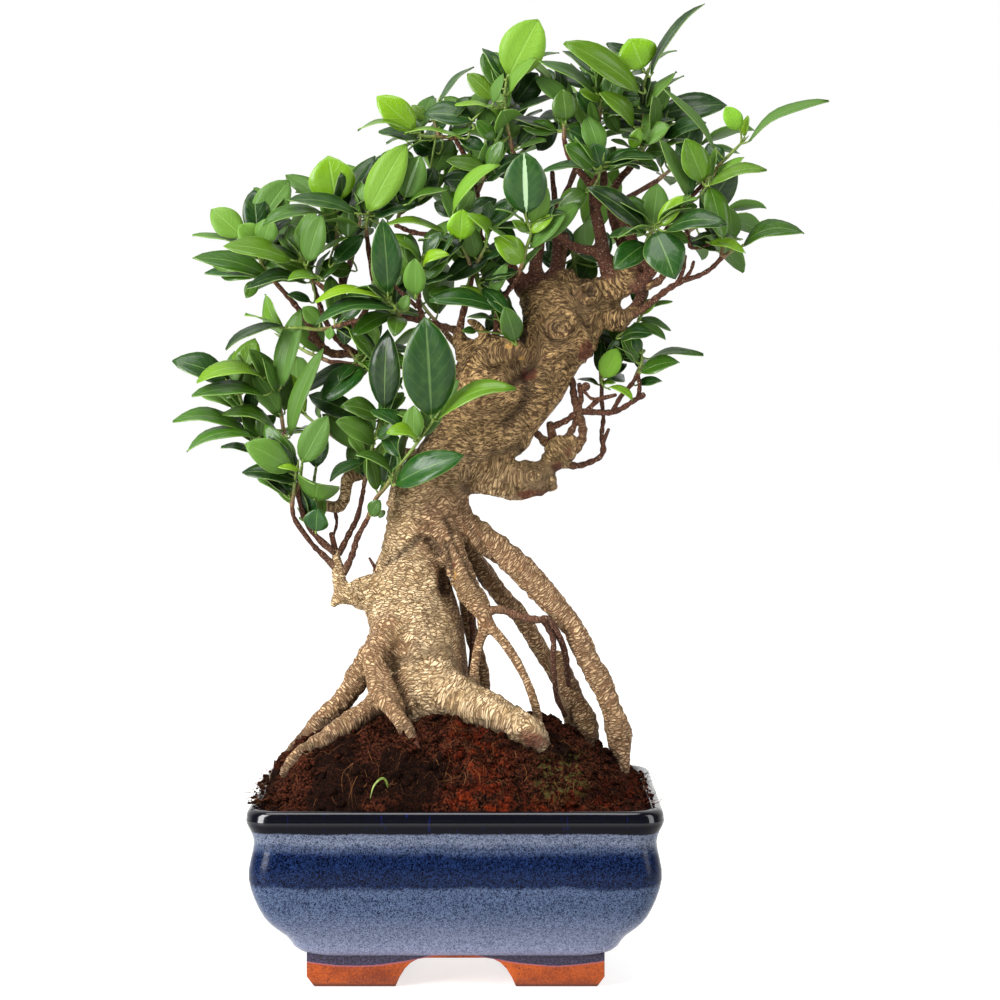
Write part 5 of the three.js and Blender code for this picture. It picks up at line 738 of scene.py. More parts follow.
class Flow:
    # a socket of a material's tree; an expression on flows adds its own Math nodes
    def __init__(self, tree, socket=None):
        self.tree = tree
        self.socket = socket

    def add(self, kind, settings=None, sockets=None, out=0):
        node = self.tree.nodes.new("ShaderNode" + kind)
        for key, value in (settings or {}).items():
            setattr(node, key, value)
        for key, value in (sockets or {}).items():
            if isinstance(value, Flow):
                self.tree.links.new(value.socket, node.inputs[key])
            else:
                node.inputs[key].default_value = value
        return Flow(self.tree, node.outputs[out])

    def sum(self, operation, a, b=0.0):
        return self.add("Math", {"operation": operation}, {0: a, 1: b})

    def __add__(self, other): return self.sum("ADD", self, other)
    def __radd__(self, other): return self.sum("ADD", other, self)
    def __sub__(self, other): return self.sum("SUBTRACT", self, other)
    def __rsub__(self, other): return self.sum("SUBTRACT", other, self)
    def __mul__(self, other): return self.sum("MULTIPLY", self, other)
    def __rmul__(self, other): return self.sum("MULTIPLY", other, self)
    def __truediv__(self, other): return self.sum("DIVIDE", self, other)
    def __rtruediv__(self, other): return self.sum("DIVIDE", other, self)
    def __pow__(self, other): return self.sum("POWER", self, other)
    def __rpow__(self, other): return self.sum("POWER", other, self)
    def __abs__(self): return self.sum("ABSOLUTE", self)

    def ramp(self, low, high):
        # 0 below low, 1 above high, smooth between
        return self.add("MapRange", {"interpolation_type": "SMOOTHSTEP"},
                        {"Value": self, "From Min": low, "From Max": high})

    def mix(self, a, b):
        # a where this is 0, b where it is 1
        return self.add("Mix", {"data_type": "RGBA"}, {0: self, 6: a, 7: b}, out=2)


class Finish:
    # a material with its Principled shader and the places that its patterns read, in metres
    def __init__(self, name, constants):
        self.material = bpy.data.materials.new(name)
        self.material.use_nodes = True
        tree = self.material.node_tree
        tree.nodes.clear()
        self.flow = Flow(tree)
        self.shader = tree.nodes.new("ShaderNodeBsdfPrincipled")
        output = tree.nodes.new("ShaderNodeOutputMaterial")
        tree.links.new(self.shader.outputs[0], output.inputs[0])
        for key, value in constants.items():
            self.shader.inputs[key].default_value = value
        self.place = self.flow.add("TexCoord", out="Object")

    def axis(self, which):
        # 0 across, 1 back, 2 up, in millimetres
        return self.flow.add("SeparateXYZ", sockets={0: self.place}, out=which) * 1000

    def value(self, name):
        return self.flow.add("Attribute", {"attribute_name": name}, out="Fac")

    def warped(self, place, scale, amount):
        # places pushed about by noise
        sockets = {"Vector": place, "Scale": scale, "Detail": 2.0}
        push = self.flow.add("TexNoise", sockets=sockets, out="Color")
        return self.flow.add("VectorMath", {"operation": "MULTIPLY_ADD"},
                             {0: push, 1: (amount,) * 3, 2: place})

    def stretched(self, place, x, y, z):
        return self.flow.add("Mapping", sockets={"Vector": place, "Scale": (x, y, z)})

    def noise(self, scale, detail=3.0, rough=0.55, place=None, warp=0.0):
        return self.flow.add("TexNoise", sockets={"Vector": place or self.place, "Scale": scale,
                                                  "Detail": detail, "Roughness": rough, "Distortion": warp})

    def cells(self, scale, feature="F1", place=None, out="Distance"):
        return self.flow.add("TexVoronoi", {"feature": feature},
                             {"Vector": place or self.place, "Scale": scale}, out=out)

    def feed(self, **flows):
        names = {"colour": "Base Color", "roughness": "Roughness", "coat": "Coat Weight"}
        for key, flow in flows.items():
            self.flow.tree.links.new(flow.socket, self.shader.inputs[names[key]])
        return self

    def bump(self, height, depth, strength=1.0):
        bump = self.flow.add("Bump", sockets={"Height": height, "Distance": depth, "Strength": strength})
        self.flow.tree.links.new(bump.socket, self.shader.inputs["Normal"])
        return self


# the leaves find their places by the same rule as the solids
growth = {
    "slides": [0, 5, -5, 10, -10, 15, -15, 21, -21, 28, -28],
    "bladeRoom": 3.4, "kinEase": 0.9, "limbRoom": 1.6, "trunkRoom": 1, "stalkRoom": 2.4,
    "stalkShares": [0.3, 0.6, 0.9], "probeStep": 3, "backLimit": 86, "backSeed": 2024, "backAttempts": 14,
    "backTurn": 2.4, "widestSpread": 1.15, "narrowestSpread": 0.4, "backLength": 27, "backStalk": 5,
    "backLift": 0.15, "backDroop": 0.12, "backArch": 0.08, "backWidth": 0.46, "retryTurn": 0.9,
    "spreadVary": 0.3, "lengthVary": 14, "backTones": ("mid", "deep", "dark", "fresh"), "flatArch": 0.06,
    "tipShift": 0.92, "roundness": 0.75, "spanShare": 0.62, "rootTries": 16, "extraSeed": 77, "extraEach": 9,
    # the small leaves inside the crown
    "innerSeed": 31, "innerEach": 12, "innerAttempts": 12, "innerRoom": 1.0, "innerNear": 5,
    "innerCover": 0.86, "innerLength": 16, "innerVary": 13, "innerStalk": 4, "innerWidth": 0.42,
    "innerArch": 0.08, "innerTones": ("deep", "dark", "mid", "dark", "olive"),
}
# where a blade's room is measured: along its length and across its half width
probeAlong = np.array([0.06, 0.22, 0.38, 0.54, 0.7, 0.86, 0.98])
probeAcross = np.array([-0.95, -0.48, 0, 0.48, 0.95])


def makeBlade(foot, tip, face, width, arch):
    along = tip - foot
    length = np.linalg.norm(along)
    along = along / length
    over = unit(face - along * face.dot(along))
    return {"foot": foot, "tip": tip, "along": along, "over": over, "side": np.cross(along, over),
            "length": length, "width": width, "arch": arch}


def seenFace(foot, tip, turn):
    # the way a blade faces: turn 0 looks at the eye, 90 at the sky
    along = unit(tip - foot)
    toEye = np.array((0, -1.0, 0))
    toEye = unit(toEye - along * toEye.dot(along))
    toSky = np.cross(toEye, along) * (-1 if along[0] < 0 else 1)
    angle = math.radians(turn)
    return toEye * math.cos(angle) + toSky * math.sin(angle)


def bladeHalf(blade, at):
    return blade["width"] / 2 * np.sin(math.pi * at ** growth["tipShift"]) ** growth["roundness"]


def bladeSpots(blade, at, out):
    # at runs from 0 at the foot to 1 at the tip, out from -1 at one margin to 1 at the other
    at, out = np.asarray(at)[..., None], np.asarray(out)[..., None]
    return (blade["foot"] + blade["along"] * blade["length"] * at
            + blade["over"] * blade["arch"] * blade["length"] * 4 * at * (1 - at)
            + blade["side"] * bladeHalf(blade, at) * out)


def probePath(places, spacing):
    probes = []
    for a, b in zip(places, places[1:]):
        steps = max(1, math.ceil(np.linalg.norm(b - a) / spacing))
        probes += [lerp(a, b, k / steps) for k in range(steps)]
    return probes + [places[-1]]


def far(spots, others):
    # the distance of every spot from every other
    return np.sqrt(((spots[:, None, :] - others[None, :, :]) ** 2).sum(-1))


def woodProbes():
    # spots along the wood, and how near a leaf may come to each
    places, reaches = [], []
    for rows in limbs.values():
        spots = [(seen(a, u, d), r) for a, u, d, r in rows]
        for (a, ra), (b, rb) in zip(spots, spots[1:]):
            steps = max(1, math.ceil(np.linalg.norm(b - a) / growth["probeStep"]))
            for k in range(steps):
                places.append(lerp(a, b, k / steps))
                reaches.append(lerp(ra, rb, k / steps) + growth["limbRoom"])
    for up, left, right, depth, half in trunkRows:
        slack = max(0, (right - left) / 2 - half)
        for share in (-1, 0, 1):
            places.append(seen((left + right) / 2 + share * slack, up, depth))
            reaches.append(half + growth["trunkRoom"])
    return np.array(places), np.array(reaches)


class Thicket:
    # everything that grows, and how much room a new leaf has in it
    def __init__(self, paths):
        self.wood, self.reach = woodProbes()
        self.shoots = {name: [[seen(*spot) for spot in path] for path in shoots]
                       for name, shoots in paths.items()}
        self.stems, self.stemOwner = [], []
        for name, shoots in self.shoots.items():
            for places in shoots:
                for place in probePath(places, growth["probeStep"]):
                    self.stems.append(place)
                    self.stemOwner.append(name)
        self.stems, self.stemOwner = np.array(self.stems), np.array(self.stemOwner)
        self.leaves = []

    def rootFor(self, name, foot):
        places = np.array([p for shoot in self.shoots[name] for p in probePath(shoot, 2)[2:]])
        places = places[np.argsort(np.linalg.norm(places - foot, axis=1), kind="stable")]
        for place in places[:growth["rootTries"]]:
            stalk = np.array([lerp(place, foot, share) for share in growth["stalkShares"]])
            if (far(stalk, self.wood) > self.reach).all():
                return place
        return places[0]

    def leaf(self, name, blade):
        root = self.rootFor(name, blade["foot"])
        at, out = np.meshgrid(probeAlong, probeAcross, indexing="ij")
        leaf = {"spray": name, "blade": blade, "root": root, "span": blade["length"] * growth["spanShare"],
                "probes": bladeSpots(blade, at.ravel(), out.ravel()), "centre": bladeSpots(blade, 0.5, 0),
                "stalk": np.array([lerp(root, blade["foot"], share) for share in growth["stalkShares"]])}
        leaf["room"] = self.room(leaf)
        return leaf

    def room(self, leaf):
        wide, slim = growth["bladeRoom"], growth["bladeRoom"] - growth["stalkRoom"]
        room = (far(leaf["probes"], self.wood) - self.reach).min() + wide
        room = min(room, (far(leaf["stalk"], self.wood) - self.reach).min() + wide)
        stems = self.stems[self.stemOwner != leaf["spray"]]
        room = min(room, far(leaf["probes"], stems).min() + slim)
        for other in self.leaves:
            if np.linalg.norm(other["centre"] - leaf["centre"]) > other["span"] + leaf["span"] + wide:
                continue
            strangers = other["spray"] != leaf["spray"]
            ease = 0 if strangers else growth["kinEase"]
            room = min(room, far(leaf["probes"], other["probes"]).min() + ease)
            if strangers:
                room = min(room, far(leaf["probes"], other["stalk"]).min() + slim)
                room = min(room, far(leaf["stalk"], other["probes"]).min() + slim)
        return room


def backBlade(shoot, places, k, attempt, share, draw):
    heading = unit(shoot[-1] - shoot[0])
    out = unit(np.cross((0, 0, 1.0), heading))
    over = np.cross(heading, out)
    angle = k * growth["backTurn"] + attempt * growth["retryTurn"] + next(draw)
    spread = lerp(growth["widestSpread"], growth["narrowestSpread"], share)
    spread += next(draw) * growth["spreadVary"]
    length = growth["backLength"] + next(draw) * growth["lengthVary"]
    way = heading * math.cos(spread) + (out * math.sin(angle) + over * math.cos(angle)) * math.sin(spread)
    way[2] += growth["backLift"]
    way = unit(way)
    start = places[math.floor(share * (len(places) - 1) + 0.5)]
    foot = start + way * growth["backStalk"]
    tip = foot + way * length
    tip[2] -= length * growth["backDroop"]
    face = heading * 0.6
    face = np.array((face[0] + next(draw) - 0.5, face[1] + next(draw) - 0.5, 1))
    return makeBlade(foot, tip, face, length * (growth["backWidth"] + next(draw) * 0.1), growth["backArch"])


def flatten(spots):
    # where spots are seen in the plane of view, the reverse of seen
    reach = (eyeDistance + spots[:, 1]) / eyeDistance
    return np.stack((spots[:, 0] / reach, eyeHeight + (spots[:, 2] - eyeHeight) / reach), 1)


# gaps among the leaves where the sky shows: across, up, radius
skyGaps = [
    (94, 527, 13), (94, 454, 10), (94, 374, 16), (120, 492, 18), (137, 473, 14), (138, 452, 10),
    (148, 440, 17), (138, 410, 12), (50, 425, 9), (-22, 396, 8), (-37, 381, 8), (-131, 381, 16),
    (-109, 367, 16), (-109, 352, 12), (-80, 338, 9), (-124, 323, 10), (-104, 323, 8), (-102, 294, 15),
    (-167, 429, 14), (-80, 475, 12), (-51, 432, 8), (-153, 367, 8),
]


def fillsGap(leaf):
    return any(math.hypot(x - across, z - up) < radius
               for x, z in flatten(leaf["probes"]) for across, up, radius in skyGaps)


def innerBlade(shoot, draw):
    # a small leaf that grows back from the shoot, in the shade of the front ones
    places = probePath(shoot, 2)
    start = places[math.floor(next(draw) * (len(places) - 1) + 0.5)]
    heading = unit(shoot[-1] - shoot[0])
    way = unit(np.array((next(draw) * 2 - 1, next(draw) * 1.3 - 0.2, next(draw) * 1.6 - 0.6)) + heading * 0.5)
    length = growth["innerLength"] + next(draw) * growth["innerVary"]
    foot = start + way * growth["innerStalk"]
    face = np.array((next(draw) - 0.5, -next(draw), 0.2 + next(draw)))
    width = length * (growth["innerWidth"] + next(draw) * 0.12)
    return makeBlade(foot, foot + way * length, face, width, growth["innerArch"])


def growInner(thicket):
    # inner leaves grow only where the leaves seen so far already cover the view
    leaves = thicket.leaves
    cover = kdtree.KDTree(sum(len(leaf["probes"]) for leaf in leaves))
    for i, spot in enumerate(flatten(np.concatenate([leaf["probes"] for leaf in leaves]))):
        cover.insert((spot[0], 0, spot[1]), i)
    cover.balance()
    draw = makeRandom(growth["innerSeed"])
    for name in sprays:
        for k in range(growth["innerEach"]):
            for attempt in range(growth["innerAttempts"]):
                shoot = thicket.shoots[name][math.floor(next(draw) * len(thicket.shoots[name]))]
                leaf = thicket.leaf(name, innerBlade(shoot, draw))
                near = [cover.find((x, 0, z))[2] < growth["innerNear"] for x, z in flatten(leaf["probes"])]
                covered = sum(near) >= growth["innerCover"] * len(near)
                if leaf["room"] >= growth["innerRoom"] and covered and not fillsGap(leaf):
                    leaf["tone"] = growth["innerTones"][(k + attempt) % len(growth["innerTones"])]
                    leaves.append(leaf)
                    break


def growPlant():
    paths = {name: spray["shoots"] for name, spray in sprays.items()}
    paths.update({name: [path] for name, (path, count) in backSprays.items()})
    thicket = Thicket(paths)
    for name, spray in sprays.items():
        for row in spray["leaves"]:
            fa, fu, ta, tu, depth, lean, width, turn, tone, arch = (*row, growth["flatArch"])[:10]
            best = None
            for slide in growth["slides"]:
                foot = seen(fa, fu, depth + slide * 0.5)
                tip = seen(ta, tu, depth + lean + slide)
                leaf = thicket.leaf(name, makeBlade(foot, tip, seenFace(foot, tip, turn), width, arch))
                if best is None or leaf["room"] > best["room"]:
                    best = leaf
                if best["room"] >= growth["bladeRoom"]:
                    break
            best["tone"] = tone
            thicket.leaves.append(best)
    for seed, each in ((growth["backSeed"], None), (growth["extraSeed"], growth["extraEach"])):
        draw = makeRandom(seed)
        for name, (path, count) in backSprays.items():
            shoot = thicket.shoots[name][0]
            places = probePath(shoot, 1)
            for k in range(each or count):
                share = (k + 0.8) / (each or count)
                for attempt in range(growth["backAttempts"]):
                    leaf = thicket.leaf(name, backBlade(shoot, places, k, attempt, share, draw))
                    fits = leaf["probes"][:, 1].max() < growth["backLimit"]
                    if leaf["room"] >= growth["bladeRoom"] and fits and not (each and fillsGap(leaf)):
                        leaf["tone"] = growth["backTones"][(k + attempt) % len(growth["backTones"])]
                        thicket.leaves.append(leaf)
                        break
    growInner(thicket)
    return thicket


thicket = growPlant()
print("leaves placed:", len(thicket.leaves))


# pot
pot = {
    "middle": -25, "depthShare": 0.73, "corner": 15, "footTop": 20.5,
    # half length and height down the outside, over the lip and down the inside
    "outer": [(40, 17.3), (84, 18.4), (96, 29), (108, 42), (115.6, 64), (112.8, 84.5), (116.5, 96),
              (116.5, 99)],
    "lip": [(116.3, 101.2), (115.2, 103.2), (113, 104), (110.4, 103.8), (108.6, 102.6), (107.4, 100)],
    "inner": [(106.5, 96), (105.8, 84.5), (108.4, 64), (101, 42), (89, 30), (78, 25), (30, 24.6)],
    "drains": 40, "drainRadius": 7, "footReach": 84, "footSole": 80, "footGap": 34, "footRise": 17,
    "footFlare": 6.4, "footEdge": 1.3, "arcSteps": 6, "sideSteps": (9, 7), "cornerShare": 0.4,
}
glazeColours = {
    # the dark and the light of each band's specks
    "navy": shades((0, 2, 16), (22, 38, 74)), "grey": shades((14, 22, 48), (74, 88, 114)),
    "pale": shades((66, 74, 98), (120, 126, 148)), "neck": shades((32, 38, 58), (98, 106, 124)),
    # the lowest band's specks, lightened with painted reflection of the white floor
    "rim": shades((5, 5, 12), (14, 24, 84)), "hem": shades((92, 92, 118), (142, 142, 164)),
}
clayColours = {
    "clay": shades((100, 34, 2), (166, 72, 9)), "pit": srgb(84, 34, 20), "sole": srgb(70, 30, 16),
    "line": srgb(142, 76, 84), "run": shades((22, 12, 30), (58, 50, 80)),
}


def potRing(half):
    # a rounded rectangle: the spots of each corner, then those of the side that follows it
    deep = half * pot["depthShare"]
    bend = min(pot["corner"], deep * pot["cornerShare"])
    corners = ((1, 1), (-1, 1), (-1, -1), (1, -1))

    def spot(x, y, quarters):
        angle = quarters * math.pi / 2
        return np.array((x * (half - bend) + bend * math.cos(angle),
                         y * (deep - bend) + bend * math.sin(angle)))
    spots = []
    for turn, corner in enumerate(corners):
        spots += [spot(*corner, turn + k / pot["arcSteps"]) for k in range(pot["arcSteps"] + 1)]
        start, end, count = spots[-1], spot(*corners[(turn + 1) % 4], turn + 1), pot["sideSteps"][turn % 2]
        spots += [lerp(start, end, (k + 1) / count) for k in range(count - 1)]
    return spots


def glazeFinish():
    finish = Finish("glaze", {"Specular IOR Level": 0.1, "Coat Roughness": 0.03, "Coat IOR": 1.5})
    up = finish.axis(2)
    drift = (finish.noise(45, 2) - 0.5) * 5 + (finish.noise(420, 2) - 0.5) * 3
    line = up + drift
    worms = finish.noise(900, 2.5, 0.6, warp=1.4)
    grains = finish.noise(2200, 2, 0.7)
    speck = worms * 0.62 + grains * 0.38
    # each band's colour, by the share of its specks that are light
    limits = {"navy": (0.45, 0.58), "grey": (0.43, 0.56), "pale": (0.42, 0.56), "neck": (0.42, 0.56),
              "hem": (0.4, 0.6)}
    navy, grey, pale, neck, hem = (speck.ramp(*span).mix(*glazeColours[n]) for n, span in limits.items())
    streak = finish.noise(1, 3, 0.6, finish.stretched(finish.place, 420, 420, 60)).ramp(0.62, 0.76) * 0.6
    rim = streak.mix(*glazeColours["rim"])
    # from the hem over the feet up to the rim, by height; the hem's lighter lavender is painted reflection of
    # the white floor
    low = line.ramp(22, 52).mix(pale, grey)
    low = (up + drift * 0.5).ramp(16, 27).mix(hem, low)
    colour = line.ramp(59.5, 62.5).mix(low, navy)
    colour = (line.ramp(78, 82) * 0.55).mix(colour, grey)
    colour = line.ramp(83.0, 86.5).mix(colour, neck)
    colour = (up + drift * 0.4).ramp(90.6, 91.8).mix(colour, rim)
    finish.feed(colour=colour, roughness=0.09 + speck * 0.1,
                coat=(up.ramp(78, 83) - up.ramp(85, 89)) * 0.3 + up.ramp(95, 98) * 0.6)
    finish.bump(worms * 0.6 + finish.noise(60, 2) * 2.4, 0.00022, 0.55)
    return finish.material


def clayFinish():
    finish = Finish("clay", {"Specular IOR Level": 0.2, "Coat Roughness": 0.08})
    up = finish.axis(2)
    grains = finish.noise(900, 3, 0.65)
    broad = finish.noise(55, 3)
    clay = (grains * 0.6 + broad * 0.5).ramp(0.35, 0.75).mix(*clayColours["clay"])
    pits = 1 - finish.cells(260).ramp(0.1, 0.2)
    clay = (pits * broad.ramp(0.45, 0.6)).mix(clay, clayColours["pit"])
    clay = ((1 - (up - broad * 2).ramp(0.2, 1.4)) * 0.8).mix(clay, clayColours["sole"])
    # the glaze runs over the top of each foot in a lens shape
    across = abs(abs(finish.axis(0) - pot["middle"]) - 56) / 33
    lens = 15.9 - (1 - across * across) * 3.4 + (broad - 0.5) * 2.2
    over = up - lens
    clay = over.ramp(-0.6, 0.1).mix(clay, clayColours["line"])
    colour = over.ramp(0, 0.7).mix(clay, grains.ramp(0.4, 0.7).mix(*clayColours["run"]))
    finish.feed(colour=colour, roughness=0.24 + grains * 0.14, coat=0.2 + over.ramp(0, 0.7) * 0.2)
    finish.bump(grains * 0.5 + broad, 0.0003, 0.5)
    return finish.material


def makePot():
    bm = bmesh.new()
    profile = smoothPath(pot["outer"], 4) + [np.array(p) for p in pot["lip"]] + smoothPath(pot["inner"], 3)
    rings = [potRing(half) for half, up in profile]

    def place(i, k):
        return (pot["middle"] + rings[i][k][0], rings[i][k][1], profile[i][1])
    growRings(bm, len(rings[0]), len(rings), place)
    shell = makePiece("potShell", bm, [glazeFinish()])
    drill = bmesh.new()
    for side in (-1, 1):
        made = bmesh.ops.create_cone(drill, cap_ends=True, segments=32, radius1=pot["drainRadius"] * mm,
                                     radius2=pot["drainRadius"] * mm, depth=0.03)["verts"]
        bmesh.ops.translate(drill, verts=made, vec=Vector((pot["middle"] + side * pot["drains"], 0, 20)) * mm)
    cutter = makePiece("drill", drill, [])
    cut = shell.modifiers.new("drains", "BOOLEAN")
    cut.object, cut.operation, cut.solver = cutter, "DIFFERENCE", "EXACT"
    settle(shell)
    bpy.data.objects.remove(cutter)
    feet = makeFeet()
    for piece in (shell, feet):
        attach(piece, "root")
        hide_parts("pot")
    print("pot:", len(shell.data.polygons) + len(feet.data.polygons), "faces")


def footBand(along, scale):
    # one long bar with the arch cut from below, as an outline pushed out along the other way
    reach, sole, gap, top = pot["footReach"], pot["footSole"], pot["footGap"], pot["footTop"]
    outline = [(-sole, 0), (-gap, 0)]
    outline += [(-gap + 11 * t + 6 * t * t, pot["footRise"] * (2 * t - t * t))
                for t in (0.2, 0.4, 0.6, 0.8, 1)]
    outline += [(-x, z) for x, z in reversed(outline[2:])] + [(gap, 0), (sole, 0), (reach, pot["footFlare"])]
    outline += [(reach, top), (-reach, top), (-reach, pot["footFlare"])]
    bm = bmesh.new()
    verts = [bm.verts.new((x * scale * mm, -0.15, z * mm)) for x, z in outline]
    face = bm.faces.new(verts)
    pushed = bmesh.ops.extrude_face_region(bm, geom=[face])["geom"]
    bmesh.ops.translate(bm, verts=[v for v in pushed if isinstance(v, bmesh.types.BMVert)], vec=(0, 0.3, 0))
    if along == "y":
        bmesh.ops.rotate(bm, verts=bm.verts, cent=(0, 0, 0), matrix=Matrix.Rotation(math.pi / 2, 3, "Z"))
    bmesh.ops.translate(bm, verts=bm.verts, vec=(pot["middle"] * mm, 0, 0))
    return bm


def makeFeet():
    feet = makePiece("potFeet", footBand("x", 1), [clayFinish()])
    other = makePiece("footBar", footBand("y", pot["depthShare"]), [])
    cross = feet.modifiers.new("feet", "BOOLEAN")
    cross.object, cross.operation, cross.solver = other, "INTERSECT", "EXACT"
    settle(feet)
    bpy.data.objects.remove(other)
    edge = feet.modifiers.new("edge", "BEVEL")
    edge.width, edge.segments, edge.profile, edge.limit_method = pot["footEdge"] * mm, 3, 0.5, "ANGLE"
    edge.angle_limit = math.radians(35)
    settle(feet)
    shade(feet.data)
    return feet


makePot()


# soil with its crumbs and coir
soil = {
    "middle": -31, "half": 113, "base": 102, "height": 47, "edge": 107.2, "power": 2.6, "lump": 1.6,
    "crumbs": 2000, "fibres": 850, "spill": 90, "seed": 5, "corner": 15, "skirt": 60, "skirtShare": 0.93,
    "crumbSizes": (0.6, 0.7, 0.9, 1.2, 1.7, 2.4, 3.2), "rimTop": 104.4, "fibreReach": (106, 77),
    # dark and light of each colour
    "dark": shades((6, 2, 1), (74, 38, 24)), "warm": shades((26, 6, 2), (120, 42, 18)),
    "shade": srgb(12, 6, 4), "moss": srgb(70, 68, 34), "coir": shades((30, 12, 6), (134, 88, 52)),
}


def moundAt(x, y):
    # the height of the soil
    across = abs((x - soil["middle"]) / soil["half"]) ** soil["power"]
    along = abs(y / (soil["half"] * pot["depthShare"])) ** soil["power"]
    lumps = math.sin(x * 0.19 + 1) * math.cos(y * 0.23) * soil["lump"]
    high = soil["base"] + soil["height"] * max(0, 1 - across - along) ** 0.9 + lumps
    v = Vector((x, y, 3))
    rough = noise.noise(v / 12) * 4.8 + noise.noise(v / 4.6) * 2.6 + abs(noise.noise(v / 2.0)) * 1.6
    return high + rough * min(1, max(0.25, (high - soil["base"]) / 6))


def soilFinish():
    finish = Finish("soil", {"Roughness": 1.0, "Specular IOR Level": 0.04})
    grains = finish.noise(700, 4, 0.7)
    clods = finish.noise(140, 3, 0.6)
    across, up = finish.axis(0), finish.axis(2)
    # redder under the roots and low at the right
    red = (1 - (abs(across + 12) / 24).ramp(0.3, 1.0)) * 0.9
    red = red + (1 - up.ramp(104, 118)) * across.ramp(-50, 10) * 0.7
    dark = grains.ramp(0.42, 0.64).mix(*soil["dark"])
    warm = grains.ramp(0.35, 0.7).mix(*soil["warm"])
    colour = (clods.ramp(0.42, 0.6) * (0.06 + red * 0.8)).mix(dark, warm)
    colour = (finish.noise(30, 3).ramp(0.46, 0.55) * (0.82 - red * 0.5)).mix(colour, soil["shade"])
    # a little moss beside the right roots
    moss = (1 - (abs(across - 34) / 20).ramp(0.3, 1)) * (1 - (abs(up - 119) / 15).ramp(0.3, 1))
    colour = (moss * finish.noise(330, 3).ramp(0.5, 0.6) * 0.8).mix(colour, soil["moss"])
    finish.feed(colour=colour)
    finish.bump(grains + clods, 0.0014)
    return finish.material


def coirFinish():
    finish = Finish("coir", {"Roughness": 0.9, "Specular IOR Level": 0.1})
    finish.feed(colour=(finish.value("tint") ** 3).mix(*soil["coir"]))
    return finish.material


